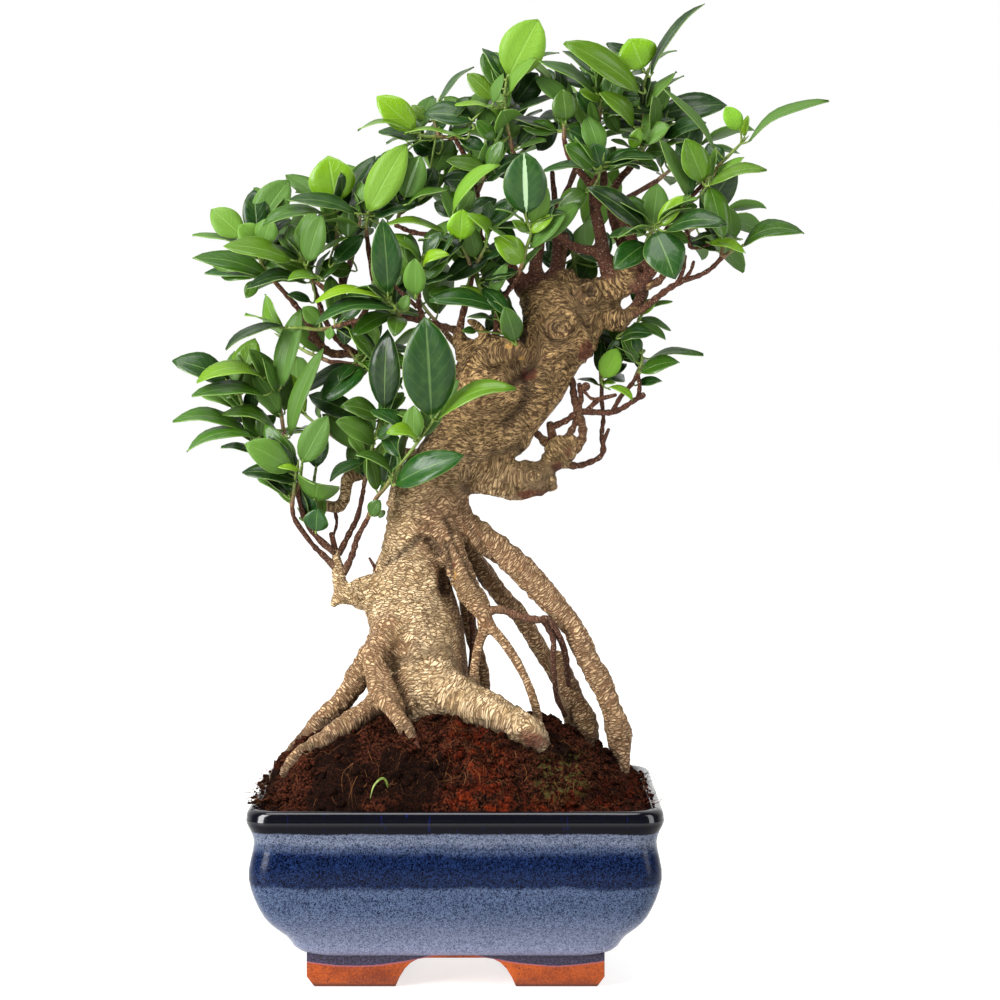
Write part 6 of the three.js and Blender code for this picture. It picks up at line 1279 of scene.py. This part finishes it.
def makeSoil():
    draw = random.Random(soil["seed"])
    bm = bmesh.new()
    middle, edge, corner = pot["middle"], soil["edge"], soil["corner"]
    deep = edge * pot["depthShare"]
    for v in bmesh.ops.create_grid(bm, x_segments=190, y_segments=140, size=1)["verts"]:
        x, y = v.co.x * edge, v.co.y * deep
        v.co = Vector((middle + x, y, 0)) * mm
        # pull the grid's corners in to follow the pot's rounded corners
        over = max(abs(x) - (edge - corner), 0), max(abs(y) - (deep - corner), 0)
        if over[0] and over[1]:
            pull = max(over) / math.hypot(*over)
            v.co.x = (middle + math.copysign(edge - corner + over[0] * pull, x)) * mm
            v.co.y = math.copysign(deep - corner + over[1] * pull, y) * mm
        v.co.z = moundAt(v.co.x / mm, v.co.y / mm) * mm
    rim = [e for e in bm.edges if e.is_boundary]
    skirt = bmesh.ops.extrude_edge_only(bm, edges=rim)["geom"]
    for v in [v for v in skirt if isinstance(v, bmesh.types.BMVert)]:
        v.co.z = soil["skirt"] * mm
        v.co.x = (middle + (v.co.x / mm - middle) * soil["skirtShare"]) * mm
        v.co.y *= soil["skirtShare"]
    bmesh.ops.holes_fill(bm, edges=[e for e in bm.edges if e.is_boundary], sides=0)
    ground = makePiece("soilMound", bm, [soilFinish()])

    def crumb(x, y, up, size):
        def build(bm):
            for v in bmesh.ops.create_icosphere(bm, subdivisions=1, radius=size * mm)["verts"]:
                v.co *= draw.uniform(0.65, 1.3)
                v.co = Vector((x, y, up)) * mm + v.co * Vector((1, 1, 0.75))
        return build

    def strand(centres, wide, tint):
        def build(bm):
            growTube(bm, centres, [wide, wide, wide * 0.9, wide * 0.8, wide * 0.4], 3)
            tints.extend([tint] * 15)
        return build

    def curl(x, y, heading, bend, length):
        # the five spots of a strand on the ground
        turns = [heading + bend * k / 4 for k in range(5)]
        return [(x + math.cos(turn) * length * k / 4, y + math.sin(turn) * length * k / 4)
                for k, turn in enumerate(turns)]

    def clamp(value, limit):
        return max(-limit, min(limit, value))
    crumbs, strands, tints = [], [], []
    for _ in range(soil["crumbs"]):
        x, y = middle + draw.uniform(-1, 1) * (edge - 3), draw.uniform(-1, 1) * (deep - 3)
        size = draw.choice(soil["crumbSizes"])
        crumbs.append(crumb(x, y, moundAt(x, y) + size * 0.2, size))
    # loose soil lies over both ends of the rim
    for side, count, reach in ((-1, soil["spill"], 9), (1, soil["spill"] // 2, 4)):
        for _ in range(count):
            x = middle + side * draw.uniform(edge - 3, edge + reach)
            y = draw.uniform(-0.86, 0.5) * deep
            crumbs.append(crumb(x, y, soil["rimTop"] + draw.uniform(0, 2.6), draw.uniform(0.6, 1.8)))
            heading, length = draw.uniform(0, 6.3), draw.uniform(4, 11)
            centres = [np.array((*spot, 105 + draw.uniform(0.3, 1.2) * k))
                       for k, spot in enumerate(curl(x, y, heading, 1.2, length))]
            strands.append(strand(centres, draw.uniform(0.1, 0.24), draw.random() * 0.8))
    # nearly half of the fibres lie round the roots, and most of them in front
    for _ in range(soil["fibres"]):
        near = draw.random() < 0.45
        x = draw.gauss(-20, 26) if near else middle + draw.uniform(-1, 1) * (edge - 4)
        x = max(middle - edge + 3, min(middle + edge - 3, x))
        y = -draw.uniform(0.2, 1) * (deep - 3) if draw.random() < 0.75 else draw.uniform(-1, 1) * (deep - 3)
        length, heading, bend = draw.uniform(3, 12), draw.uniform(0, 6.3), draw.uniform(-1.4, 1.4)
        centres = []
        for k, (px, py) in enumerate(curl(x, y, heading, bend, length)):
            px, py = middle + clamp(px - middle, soil["fibreReach"][0]), clamp(py, soil["fibreReach"][1])
            lift = 0.2 + draw.uniform(0, 0.8) * math.sin(math.pi * k / 4)
            centres.append(np.array((px, py, moundAt(px, py) + lift)))
        if min(np.linalg.norm(b - a) for a, b in zip(centres, centres[1:])) >= 0.2:
            strands.append(strand(centres, draw.uniform(0.06, 0.14), draw.random()))
    crumbPiece = makePiece("soilCrumbs", gather(crumbs), [ground.data.materials[0]])
    coir = makePiece("soilCoir", gather(strands), [coirFinish()])
    addValues(coir.data, "tint", tints)
    for piece in (ground, crumbPiece, coir):
        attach(piece, "root")
        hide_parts("soil")
    print("soil:", sum(len(p.data.polygons) for p in (ground, crumbPiece, coir)), "faces")


makeSoil()


# trunk, roots and branches
bark = {
    "voxel": 1.33, "thick": 3.3, "lumpSize": 16, "lump": 1.8, "knurlSize": 5.2, "knurl": 1.3, "ridge": 1.0,
    "sides": 40, "step": 4, "stain": 9,
    # creases on the front, each also darkened with painted shade: path of across and up, depth, width
    "creases": [
        ([(-76, 231), (-68, 236), (-60, 240), (-52, 246), (-45, 250), (-40, 247), (-36, 240)], 3.4, 2.4),
        ([(-17, 302), (-18, 290), (-20, 278), (-22, 266)], 1.6, 3.4),
        ([(-31, 220), (-31, 232), (-31, 246)], 5.0, 3.2),
        ([(-66, 182), (-52, 176), (-38, 181), (-24, 178)], 1.2, 1.8),
        ([(-66, 264), (-54, 268), (-42, 264)], 0.9, 1.6),
        ([(-60, 168), (-50, 156), (-44, 140)], 1.8, 2.4),
        ([(-56, 118), (-40, 116), (-22, 122)], 1.2, 1.8),
        ([(10, 350), (15, 344), (17, 334), (12, 324), (4, 316)], 3.6, 3.8),
        ([(42, 352), (46, 346), (52, 348)], 2.4, 1.8),
        ([(36, 392), (44, 382), (52, 372)], 1.8, 2.0),
        ([(14, 378), (24, 386), (36, 386)], 1.6, 1.8),
        ([(20, 356), (26, 352), (40, 354)], 1.2, 1.6),
        ([(8, 341), (14, 345), (19, 350)], 3.6, 3.2),
        ([(2, 281), (14, 276), (28, 279)], 1.6, 1.8),
        ([(26, 309), (18, 304), (6, 302), (-4, 300)], 1.6, 2.2),
        ([(-30, 262), (-26, 248), (-18, 234), (-12, 222)], 2.0, 1.7),
        ([(-19, 262), (-14, 250), (-5, 236), (2, 224)], 2.0, 1.7),
        ([(-50, 262), (-40, 256), (-34, 246)], 1.4, 1.8),
    ],
    # knots: across, up, radius, height, how ringed, which also sets how much painted shade lies in them
    "knots": [(34, 372, 11, 3.4, 1), (51, 392, 10, 3.0, 1), (36, 343, 7, 1.8, 0.5), (-46, 205, 11, 1.4, 0),
              (16, 135, 8, 1.2, 0.1), (0, 342, 9, 2.0, 0.3), (22, 318, 8, 1.6, 0.3),
              (-84, 216, 6, 1.4, 0.4), (20, 286, 7, 1.4, 0.4), (-10, 312, 9, 1.6, 0.1),
              (-34, 192, 10, 1.2, 0), (-44, 284, 10, 1.2, 0)],
    # torn places and fresh wood: across, up, half width, half height, tone
    "scars": [(50, 356, 5, 10, -1), (22, 274.5, 14, 3, -1), (33, 291, 4, 3, -1), (40, 300, 4, 5, -0.6),
              (17, 346, 5, 5, -1), (5, 361, 3, 1.8, 0.9), (13, 354, 3, 2, 0.9), (17, 349, 2, 3, 0.7),
              (16, 134, 7, 6, -0.55), (12, 116, 9, 4, -0.5), (-27, 228, 1.6, 3.4, 1), (-28, 234, 3, 2, -1),
              (24, 236, 2.6, 3.4, 0.6), (-47, 130, 5, 7, -0.8), (22, 130, 8, 5, -0.6), (2, 139, 10, 4, -0.45),
              (-6, 380, 9, 6, -0.45), (-8, 368, 8, 5, -0.4), (26, 354, 8, 3, -0.4)],
}
barkColours = {
    # the dark and the light of each
    "pale": shades((148, 114, 74), (252, 224, 180)), "aged": shades((80, 54, 27), (214, 176, 118)),
    "root": shades((122, 86, 56), (214, 178, 136)), "twig": shades((52, 26, 17), (112, 68, 46)),
    "torn": shades((46, 16, 8), (120, 52, 30)), "fresh": shades((140, 92, 44), (220, 176, 96)),
    # the young bark below and the old bark above
    "smooth": shades((166, 136, 92), (100, 74, 40)), "patch": shades((118, 100, 60), (78, 62, 30)),
    "crack": shades((84, 56, 34), (44, 28, 14)),
    # hollow is painted shade for the hollows, creases and knots, and also darkens the soil-stained root feet
    "fleck": srgb(62, 42, 24), "dot": srgb(206, 180, 146), "hollow": srgb(40, 25, 14),
}


def trunkBody(bm):
    rows = smoothPath(trunkRows, 3)

    def place(i, k):
        up, left, right, depth, half = rows[i]
        angle = 2 * math.pi * k / bark["sides"]
        across = (left + right) / 2 + math.sin(angle) * (right - left) / 2
        return seen(across, up, depth - math.cos(angle) * half)
    growRings(bm, bark["sides"], len(rows), place)


def limbPath(rows):
    smooth = smoothPath(rows, bark["step"])
    return [seen(*row[:3]) for row in smooth], [float(row[3]) for row in smooth]


# spots along every limb tell a vertex which limb it lies on, and how far along; each has its root share,
# run, radius and heading
limbSpots, limbFacts = [], []
for name, rows in limbs.items():
    centres, radii = limbPath(rows)
    kind = 1.0 if name.startswith("root") else 0.0
    run, way = centres[0][2], math.copysign(1, centres[-1][2] - centres[0][2])
    for i, centre in enumerate(centres):
        run += way * np.linalg.norm(centre - centres[i - 1]) if i else 0
        limbSpots.append(centre)
        heading = unit(centres[min(i + 1, len(centres) - 1)] - centres[max(i - 1, 0)]) * way
        if name.startswith("leftKnob"):
            run, heading = centre[2], np.array((0, 0, 1.0))
        limbFacts.append((kind, run, radii[i], heading))
for up, left, right, depth, half in smoothPath(trunkRows, 3):
    for share in (-0.5, 0, 0.5):
        limbSpots.append(seen((left + right) / 2 + share * (right - left) / 2, up, depth))
        limbFacts.append((0.0, limbSpots[-1][2], half * 1.15, np.array((0, 0, 1.0))))
limbTree = kdtree.KDTree(len(limbSpots))
for i, spot in enumerate(limbSpots):
    limbTree.insert(spot, i)
limbTree.balance()


def limbValues(spots):
    # root share, run and radius of each spot, by the limb whose skin is nearest
    kinds, runs, wides = np.zeros(len(spots)), np.zeros(len(spots)), np.zeros(len(spots))
    for i, spot in enumerate(spots):
        best = min(limbTree.find_n(spot, 7), key=lambda found: abs(found[2] - limbFacts[found[1]][2]))
        kinds[i], run, wides[i], heading = limbFacts[best[1]]
        runs[i] = run + heading.dot(spot - limbSpots[best[1]])
    return kinds, runs, wides


def even(mesh, values, rounds):
    # spreads values along the mesh's edges
    edges = np.empty(len(mesh.edges) * 2, np.int32)
    mesh.edges.foreach_get("vertices", edges)
    a, b = edges.reshape(-1, 2).T
    count = np.bincount(np.concatenate((a, b)), minlength=len(values)) + 1
    size = len(values)
    for _ in range(rounds):
        values = (values + np.bincount(a, values[b], size) + np.bincount(b, values[a], size)) / count
    return values


def pathGap(flat, path):
    # distance from flat spots to a path in the plane of view
    best = np.full(len(flat), 1e9)
    for a, b in zip(path, path[1:]):
        a, b = np.array(a, float), np.array(b, float)
        t = np.clip(((flat - a) @ (b - a)) / ((b - a) @ (b - a)), 0, 1)
        best = np.minimum(best, np.linalg.norm(flat - a - t[:, None] * (b - a), axis=1))
    return best


def carveBark(mesh, strength=1.0):
    # pushes the skin about, and leaves what the bark's material reads: root, run, dark, scar and slim; dark
    # is painted shade in hollows, creases and knots, together with the soil stain at the root feet
    spots, normals = readSpots(mesh) / mm, readNormals(mesh)
    kinds, runs, wides = limbValues(spots)
    grip = np.clip((wides - 1.5) / 7, 0.12, 1) * strength
    push = np.zeros(len(spots))
    for i, p in enumerate(spots):
        lump = noise.noise(Vector(p) / bark["lumpSize"])
        knurl = noise.noise(Vector((p[0], p[1], p[2] * 1.6)) / bark["knurlSize"])
        ridge = abs(noise.noise(Vector((p[0] * 1.3, p[1] * 1.3, p[2] * 0.5)) / 3))
        rough = bark["knurl"] * (1 + 0.5 * min(1, max(0, (p[2] - 230) / 60)))
        push[i] = (lump * bark["lump"] + knurl * rough - ridge * bark["ridge"]) * grip[i]
    flat = flatten(spots)
    front = np.clip(-normals[:, 1] * 2 + 0.5, 0, 1) * (wides > 4)
    # painted shade: the hollows of the old bark are darkened as if shade lay in them
    hollow = (-push / np.maximum(grip, 0.3) - 0.7) / 1.9
    dark = np.clip(hollow, 0, 0.85) * np.clip((spots[:, 2] - 225) / 60, 0.12, 1) * (wides > 4)
    scar = np.zeros(len(spots))
    for path, depth, width in bark["creases"]:
        near = np.exp(-(pathGap(flat, path) / width) ** 2) * front
        push -= near * depth
        # each crease is also darkened with painted shade
        dark = np.maximum(dark, near * min(1, depth / 3.4))
    for across, up, radius, height, ringed in bark["knots"]:
        gap = np.hypot(flat[:, 0] - across, (flat[:, 1] - up) * 1.15) / radius
        near = np.exp(-gap ** 6) * front
        rings = np.cos(gap * 12) * 0.22 * height * (gap > 0.12) * ringed
        push += near * (height * (np.exp(-(gap - 0.4 * ringed) ** 2 * 8) * 1.3 - 0.35) + rings)
        # painted shade in the sunken middle of a ringed knot and between its rings
        dark = np.maximum(dark, near * np.clip(0.5 - rings * 1.6 - gap * 0.4, 0, 1) * 0.9 * ringed)
        runs += near * (up + gap * radius - runs) * min(1, ringed * 2)
    for across, up, wide, high, tone in bark["scars"]:
        gap = ((flat[:, 0] - across) / wide) ** 2 + ((flat[:, 1] - up) / high) ** 2
        scar += np.exp(-gap ** 2) * front * tone
    # the feet of the roots are stained by the soil
    for i in np.flatnonzero(spots[:, 2] < 165):
        over = spots[i][2] - moundAt(spots[i][0], spots[i][1]) + noise.noise(Vector(spots[i]) / 5) * 5
        dark[i] = max(dark[i], min(1, 1.15 - over / bark["stain"]))
    spots += normals * push[:, None]
    mesh.vertices.foreach_set("co", (spots * mm).ravel())
    addValues(mesh, "root", np.clip(even(mesh, kinds, 8), 0, 1))
    runs += np.array([noise.noise(Vector(p) / 17) * 4 for p in spots])
    addValues(mesh, "run", even(mesh, runs, 4))
    addValues(mesh, "dark", even(mesh, dark, 1))
    addValues(mesh, "scar", np.clip(even(mesh, scar, 1), -1, 1))
    if strength < 1:
        slim = np.clip((3.6 - wides) / 1.6, 0, 1)
    else:
        slim = (wides < 7) * (spots[:, 2] > 384) * (1 - kinds)
    addValues(mesh, "slim", even(mesh, slim, 4))
    mesh.update()
    print("bark: %d spots, %d in creases" % (len(spots), (dark > 0.3).sum()))


def barkFinish():
    finish = Finish("bark", {"Specular IOR Level": 0.3})
    flow = finish.flow
    up = finish.axis(2)
    root, dark, slim, run, scar = (finish.value(n) for n in ("root", "dark", "slim", "run", "scar"))
    # pale plates lie across the run of each limb on a browner net
    place = flow.add("CombineXYZ", sockets={0: finish.axis(0), 1: finish.axis(1), 2: run})
    place = finish.warped(place, 0.2, 3.0)
    plateSpot = finish.stretched(place, 0.23, 0.23, 0.72)
    edge = finish.cells(1, "DISTANCE_TO_EDGE", plateSpot)
    tint = flow.add("SeparateXYZ", sockets={0: finish.cells(1, "F1", plateSpot, "Color")})
    flecks = finish.noise(1, 4, 0.62, finish.stretched(place, 0.34, 0.34, 1.0))
    patches = finish.noise(62, 3, 0.6)
    fine = finish.noise(1300, 3, 0.6)
    grain = fine.ramp(0.35, 0.65)
    high = (up + (patches - 0.5) * 90).ramp(205, 335)
    streaks = finish.noise(1, 4, 0.6, finish.stretched(place, 0.27, 0.27, 1.0))
    cover = (edge - root * 0.05 - high * 0.02 + (fine - 0.5) * 0.12).ramp(-0.02, 0.17)
    shade = cover * (tint * 0.3 + flecks.ramp(0.36, 0.62) * 0.8)
    worn = streaks.ramp(0.4, 0.62)
    shade = shade * (1 - high * 0.55) + worn * (flecks + 0.35) * high * 0.55
    shade = shade + (shade - 0.42) * high * 0.75
    colour = high.mix(shade.mix(*barkColours["pale"]), shade.mix(*barkColours["aged"]))
    colour = (root * 0.85).mix(colour, shade.mix(*barkColours["root"]))
    smooth = finish.noise(48, 3, 0.6).ramp(0.42, 0.62) * (1 - root * 0.7)
    colour = (smooth * (0.5 - high * 0.2)).mix(colour, high.mix(*barkColours["smooth"]))
    colour = (patches.ramp(0.5, 0.68) * 0.35).mix(colour, high.mix(*barkColours["patch"]))
    cracks = (1 - edge.ramp(0.01, 0.07)) * (1 - high * 0.75) + (1 - streaks.ramp(0.3, 0.42)) * high * 0.7
    colour = (cracks * (0.5 + high * 0.2)).mix(colour, high.mix(*barkColours["crack"]))
    colour = (fine.ramp(0.58, 0.74) * 0.4).mix(colour, barkColours["fleck"])
    # dark twigs with pale dots, then the painted shade of hollows, creases and knots with the soil stain of
    # the root feet, the torn places and the fresh wood
    dots = 1 - finish.cells(560, "F1", finish.warped(finish.place, 300, 0.003)).ramp(0.12, 0.26)
    colour = slim.mix(colour, (dots * 0.62).mix(grain.mix(*barkColours["twig"]), barkColours["dot"]))
    colour = (dark * 0.7).mix(colour, barkColours["hollow"])
    colour = ((scar * -1).ramp(0.25, 0.75) * 0.8).mix(colour, grain.mix(*barkColours["torn"]))
    colour = (scar.ramp(0.3, 0.7) * 0.9).mix(colour, grain.mix(*barkColours["fresh"]))
    finish.feed(colour=colour, roughness=0.6 + flecks * 0.25)
    relief = cover * (1 - high * 0.7) * 0.5 + streaks * (high * 0.9 + 0.3)
    finish.bump(relief + flecks * 0.8 + fine * 0.16 - dots * slim * 0.2, 0.0028)
    return finish.material


def roundEnd(centres, radii):
    # a blunt tip past the last ring
    tip, heading, r = centres[-1], unit(centres[-1] - centres[-2]), radii[-1]
    return centres + [tip + heading * r * 0.5, tip + heading * r * 0.8], radii + [r * 0.84, r * 0.45]


def makeWood():
    material = barkFinish()
    thick, thin = bmesh.new(), bmesh.new()
    trunkBody(thick)
    for name, rows in limbs.items():
        centres, radii = limbPath(rows)
        big = max(radii) > bark["thick"]
        if not big:
            # nodes swell a thin twig where leaves once stood
            run = np.cumsum([0] + [np.linalg.norm(b - a) for a, b in zip(centres, centres[1:])])
            radii = [r * (1.02 + 0.16 * math.cos(s * 1.15 + len(name))) for r, s in zip(radii, run)]
        centres, radii = roundEnd(centres, radii)
        growTube(thick if big else thin, centres, radii, 14 if big else 9)
    wood = makePiece("trunkWood", thick, [material])
    shape = wood.modifiers.new("skin", "REMESH")
    shape.mode, shape.voxel_size, shape.use_smooth_shade = "VOXEL", bark["voxel"] * mm, True
    settle(wood)
    for _ in range(2):
        spots = readSpots(wood.data)
        spots = np.stack([even(wood.data, spots[:, k], 1) for k in range(3)], 1)
        wood.data.vertices.foreach_set("co", spots.ravel())
        wood.data.update()
    carveBark(wood.data)
    shade(wood.data)
    twigs = makePiece("twigs", thin, [material])
    carveBark(twigs.data, 0.6)
    for piece in (wood, twigs):
        if not piece.data.materials:
            piece.data.materials.append(material)
        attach(piece, "root")
        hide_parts("trunk")
    print("wood:", len(wood.data.polygons), "faces, twigs:", len(twigs.data.polygons))


makeWood()


# leaves and green shoots
foliage = {
    "across": 4, "along": 9, "thick": 0.5, "fold": 0.14, "wave": 0.6, "seed": 11,
    "fill": (-0.16, 0.0), "twist": (-0.2, 0.2), "curl": (0.5, 1.7), "vary": (0.82, 1.2), "stemSides": 8,
    "tones": {
        "sheen": srgb(26, 56, 18), "fresh": srgb(70, 104, 12), "mid": srgb(42, 76, 8),
        "deep": srgb(16, 54, 7), "lime": srgb(92, 128, 12), "olive": srgb(48, 78, 12),
        "dark": srgb(7, 36, 3), "striped": srgb(24, 58, 16), "bright": srgb(112, 166, 18),
    },
    "veil": srgb(110, 150, 40), "vein": srgb(150, 190, 104), "margin": srgb(168, 200, 104),
    # the midrib's colour, then the pale band of painted sheen along the midrib of striped leaves
    "back": srgb(88, 126, 44), "midrib": shades((150, 186, 104), (176, 204, 160)),
    "shootOld": shades((72, 46, 28), (116, 86, 52)), "shootYoung": shades((72, 96, 28), (112, 132, 50)),
}


def leafFinish(under):
    finish = Finish("leafUnder" if under else "leafTop",
                    {"Specular IOR Level": 0.22, "Coat Roughness": 0.12})
    flow = finish.flow
    spot = flow.add("UVMap", {"uv_map": "leaf"})
    across = abs(flow.add("SeparateXYZ", sockets={0: spot}) - 0.5) * 2
    along = flow.add("SeparateXYZ", sockets={0: spot}, out=1)
    tint = flow.add("Attribute", {"attribute_name": "tone"}, out="Color")
    stripe = finish.value("stripe")
    blotch = finish.noise(160, 3)
    fine = finish.noise(1400, 2)
    colour = (blotch.ramp(0.35, 0.75) * 0.07).mix(tint, foliage["veil"])
    # side veins sweep forward from the midrib
    wave = flow.sum("SINE", along * 46 - across * 15)
    veins = wave.ramp(0.75, 1.0) * across.ramp(0.05, 0.2) * (1 - across.ramp(0.75, 0.95))
    colour = (veins * 0.025).mix(colour, foliage["vein"])
    # on striped leaves the midrib widens into a pale band of painted sheen
    midrib = 1 - (across - stripe * 0.06).ramp(0.02, 0.08)
    colour = (midrib * (0.16 + stripe * 0.5)).mix(colour, stripe.mix(*foliage["midrib"]))
    colour = (across.ramp(0.955, 1.0) * 0.25).mix(colour, foliage["margin"])
    if under:
        colour = (0.55 - blotch * 0.2).mix(colour, foliage["back"])
    finish.feed(colour=colour, roughness=(0.5 if under else 0.3) + blotch * 0.12 + fine * 0.04,
                coat=(0.0 if under else 0.11) + blotch * 0.1)
    relief = (1 - midrib) * 0.9 + veins * 0.35 + fine * 0.12 + blotch * 0.8
    finish.bump(relief, 0.0003 if under else 0.00035, 0.6)
    return finish.material


def shootFinish():
    finish = Finish("shoot", {"Roughness": 0.5, "Specular IOR Level": 0.45})
    # woody at the foot and green at the tip
    grains = finish.noise(700, 3)
    young = grains.ramp(0.3, 0.7).mix(*foliage["shootYoung"])
    old = grains.ramp(0.35, 0.65).mix(*foliage["shootOld"])
    finish.feed(colour=finish.value("ripe").ramp(0.1, 0.65).mix(old, young))
    finish.bump(grains, 0.0003, 0.6)
    return finish.material


def addLeaf(bm, leaf, uvLayer, draw):
    # a grid bent to the blade, no two alike
    blade = leaf["blade"]
    made = bmesh.ops.create_grid(bm, x_segments=foliage["across"], y_segments=foliage["along"], size=0.5,
                                 calc_uvs=False)["verts"]
    half = blade["width"] / 2
    full, twist, curl = (draw.uniform(*foliage[key]) for key in ("fill", "twist", "curl"))
    phase = draw.uniform(0, 6)
    for face in {f for v in made for f in v.link_faces}:
        for loop in face.loops:
            loop[uvLayer].uv = (loop.vert.co.x + 0.5, loop.vert.co.y + 0.5)
    for v in made:
        out, at = v.co.x * 2, v.co.y + 0.5
        at = 0.012 + at * 0.985
        wider = math.sin(math.pi * at ** growth["tipShift"]) ** full
        spot = bladeSpots(blade, np.array(at), np.array(out * wider))
        ripple = math.sin(at * 9 + phase) * foliage["wave"] * abs(out) ** 2 * min(1, half / 8)
        lift = abs(out) ** 1.5 * half * foliage["fold"] * curl * math.sin(math.pi * at) + ripple
        spot = spot + blade["over"] * (lift + out * twist * half * (at - 0.3))
        v.co = Vector(spot) * mm
    return len(made)


def addStalk(bm, leaf):
    # from the shoot into the foot of the blade
    blade, root = leaf["blade"], leaf["root"]
    foot = blade["foot"]
    reach = np.linalg.norm(foot - root)
    if reach < 0.8:
        return
    bend = foot - blade["along"] * reach * 0.35
    spots = [root, lerp(root, bend, 0.6), lerp(bend, foot, 0.5), foot, foot + blade["along"] * 2.5]
    spots = [np.array(s) for s in smoothPath(spots, 2)]
    growTube(bm, spots, [lerp(0.75, 0.45, t) for t in np.linspace(0, 1, len(spots))], 6)


def makeFoliage():
    draw = random.Random(foliage["seed"])
    top, under, green = leafFinish(False), leafFinish(True), shootFinish()
    total = 0
    for name, shoots in thicket.shoots.items():
        blades, stems = bmesh.new(), bmesh.new()
        uvLayer = blades.loops.layers.uv.new("leaf")
        tones, sheenStripes = [], []
        for leaf in thicket.leaves:
            if leaf["spray"] != name:
                continue
            count = addLeaf(blades, leaf, uvLayer, draw)
            vary = draw.uniform(*foliage["vary"])
            tint = foliage["tones"][leaf["tone"]][:3]
            tones += ([min(1, part * vary * draw.uniform(0.94, 1.06)) for part in tint] + [1.0]) * count
            sheenStripes += [float(leaf["tone"] == "striped")] * count
            addStalk(stems, leaf)
        ripe = [1.0] * len(stems.verts)
        for places in shoots:
            path = smoothPath(places, 4)
            shares = [i / (len(path) - 1) for i in range(len(path))]
            radii = [lerp(1.35, 0.8, share) * (1 + 0.1 * math.sin(i * 2.1)) for i, share in enumerate(shares)]
            growTube(stems, path, radii, foliage["stemSides"])
            ripe += [share for share in shares for _ in range(foliage["stemSides"])]
            # a pointed bud sheath at the end
            tip, heading = path[-1], unit(path[-1] - path[-2])
            growTube(stems, [tip + heading * d for d in (-0.5, 1.5, 4, 6.5)], [0.8, 0.9, 0.6, 0.12], 6)
            ripe += [1.0] * 24
        leaves = makePiece(name + "Leaves", blades, [top, under])
        leaves.data.attributes.new("tone", "FLOAT_COLOR", "POINT").data.foreach_set("color", tones)
        addValues(leaves.data, "stripe", sheenStripes)
        skin = leaves.modifiers.new("thickness", "SOLIDIFY")
        skin.thickness, skin.offset, skin.material_offset = foliage["thick"] * mm, 0, 1
        skin.material_offset_rim = 0
        stalks = makePiece(name + "Stems", stems, [green])
        addValues(stalks.data, "ripe", ripe)
        for piece in (leaves, stalks):
            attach(piece, "root")
            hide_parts(name + "Spray")
        total += len(leaves.data.polygons)
    print("leaves:", len(thicket.leaves), "with", total, "faces")


makeFoliage()


# the blade of grass at the front
grass = {
    "path": [(-65, 102, -70), (-67, 108, -78), (-70, 108.5, -84), (-74, 104, -88), (-76, 97, -88.5)],
    "wide": [0.5, 0.65, 0.7, 0.5, 0.12], "green": shades((84, 108, 34), (134, 150, 70)),
}


def makeGrass():
    finish = Finish("grass", {"Roughness": 0.45})
    finish.feed(colour=finish.noise(500, 2).ramp(0.3, 0.7).mix(*grass["green"]))
    rows = smoothPath([seen(*p).tolist() + [w] for p, w in zip(grass["path"], grass["wide"])], 5)
    bm = bmesh.new()
    growTube(bm, [row[:3] for row in rows], [row[3] for row in rows], 6)
    piece = makePiece("grassLeaf", bm, [finish.material])
    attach(piece, "root")
    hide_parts("grassBlade")


makeGrass()


# floor, light and camera
studio = {
    "floor": 6.0, "lens": 93.02, "eye": (0, -1.5, 0.357), "look": (0, 0, 0.272), "dim": 0.12,
    "lit": (0, 0, 0.3), "floorTone": (0.4, 0.4, 0.395, 1), "floorGlow": 0.72,
    # place, size, power
    "lights": [((-1.2, -0.95, 0.85), (0.7, 1.4), 62), ((1.35, -0.75, 0.75), (0.6, 1.4), 15),
               ((-0.2, -0.5, 1.9), (1.4, 1.0), 30)],
}


def aim(thing, target):
    thing.rotation_euler = (Vector(target) - thing.location).to_track_quat("-Z", "Y").to_euler()


def setStage():
    bm = bmesh.new()
    bmesh.ops.create_grid(bm, x_segments=1, y_segments=1, size=studio["floor"])
    finish = Finish("floor", {"Base Color": studio["floorTone"], "Roughness": 0.4, "Specular IOR Level": 0.3,
                              "Emission Color": (1, 1, 0.99, 1), "Emission Strength": studio["floorGlow"]})
    floor = makePiece("floor", bm, [finish.material], False)
    for i, (place, size, power) in enumerate(studio["lights"]):
        data = bpy.data.lights.new("softbox%d" % (i + 1), "AREA")
        data.shape, data.size, data.size_y, data.energy = "RECTANGLE", size[0], size[1], power
        lamp = bpy.data.objects.new(data.name, data)
        lamp.location = place
        aim(lamp, studio["lit"])
        bpy.context.scene.collection.objects.link(lamp)
    world = bpy.data.worlds.new("studio")
    world.use_nodes = True
    # white behind the object and to the eye, dim in front of it
    flow = Flow(world.node_tree)
    heading = flow.add("SeparateXYZ", sockets={0: flow.add("TexCoord", out="Generated")}, out=1)
    white = flow.sum("MAXIMUM", heading.ramp(0.0, 0.55), flow.add("LightPath"))
    backdrop = world.node_tree.nodes["Background"]
    backdrop.inputs[0].default_value = (1, 1, 1, 1)
    world.node_tree.links.new((white * (1 - studio["dim"]) + studio["dim"]).socket, backdrop.inputs[1])
    bpy.context.scene.world = world
    bpy.context.scene.view_settings.view_transform = "Standard"
    camera = bpy.data.objects.new("camera", bpy.data.cameras.new("camera"))
    camera.data.lens, camera.data.sensor_width = studio["lens"], 36
    camera.location = studio["eye"]
    aim(camera, studio["look"])
    bpy.context.scene.collection.objects.link(camera)
    bpy.context.scene.camera = camera


setStage()
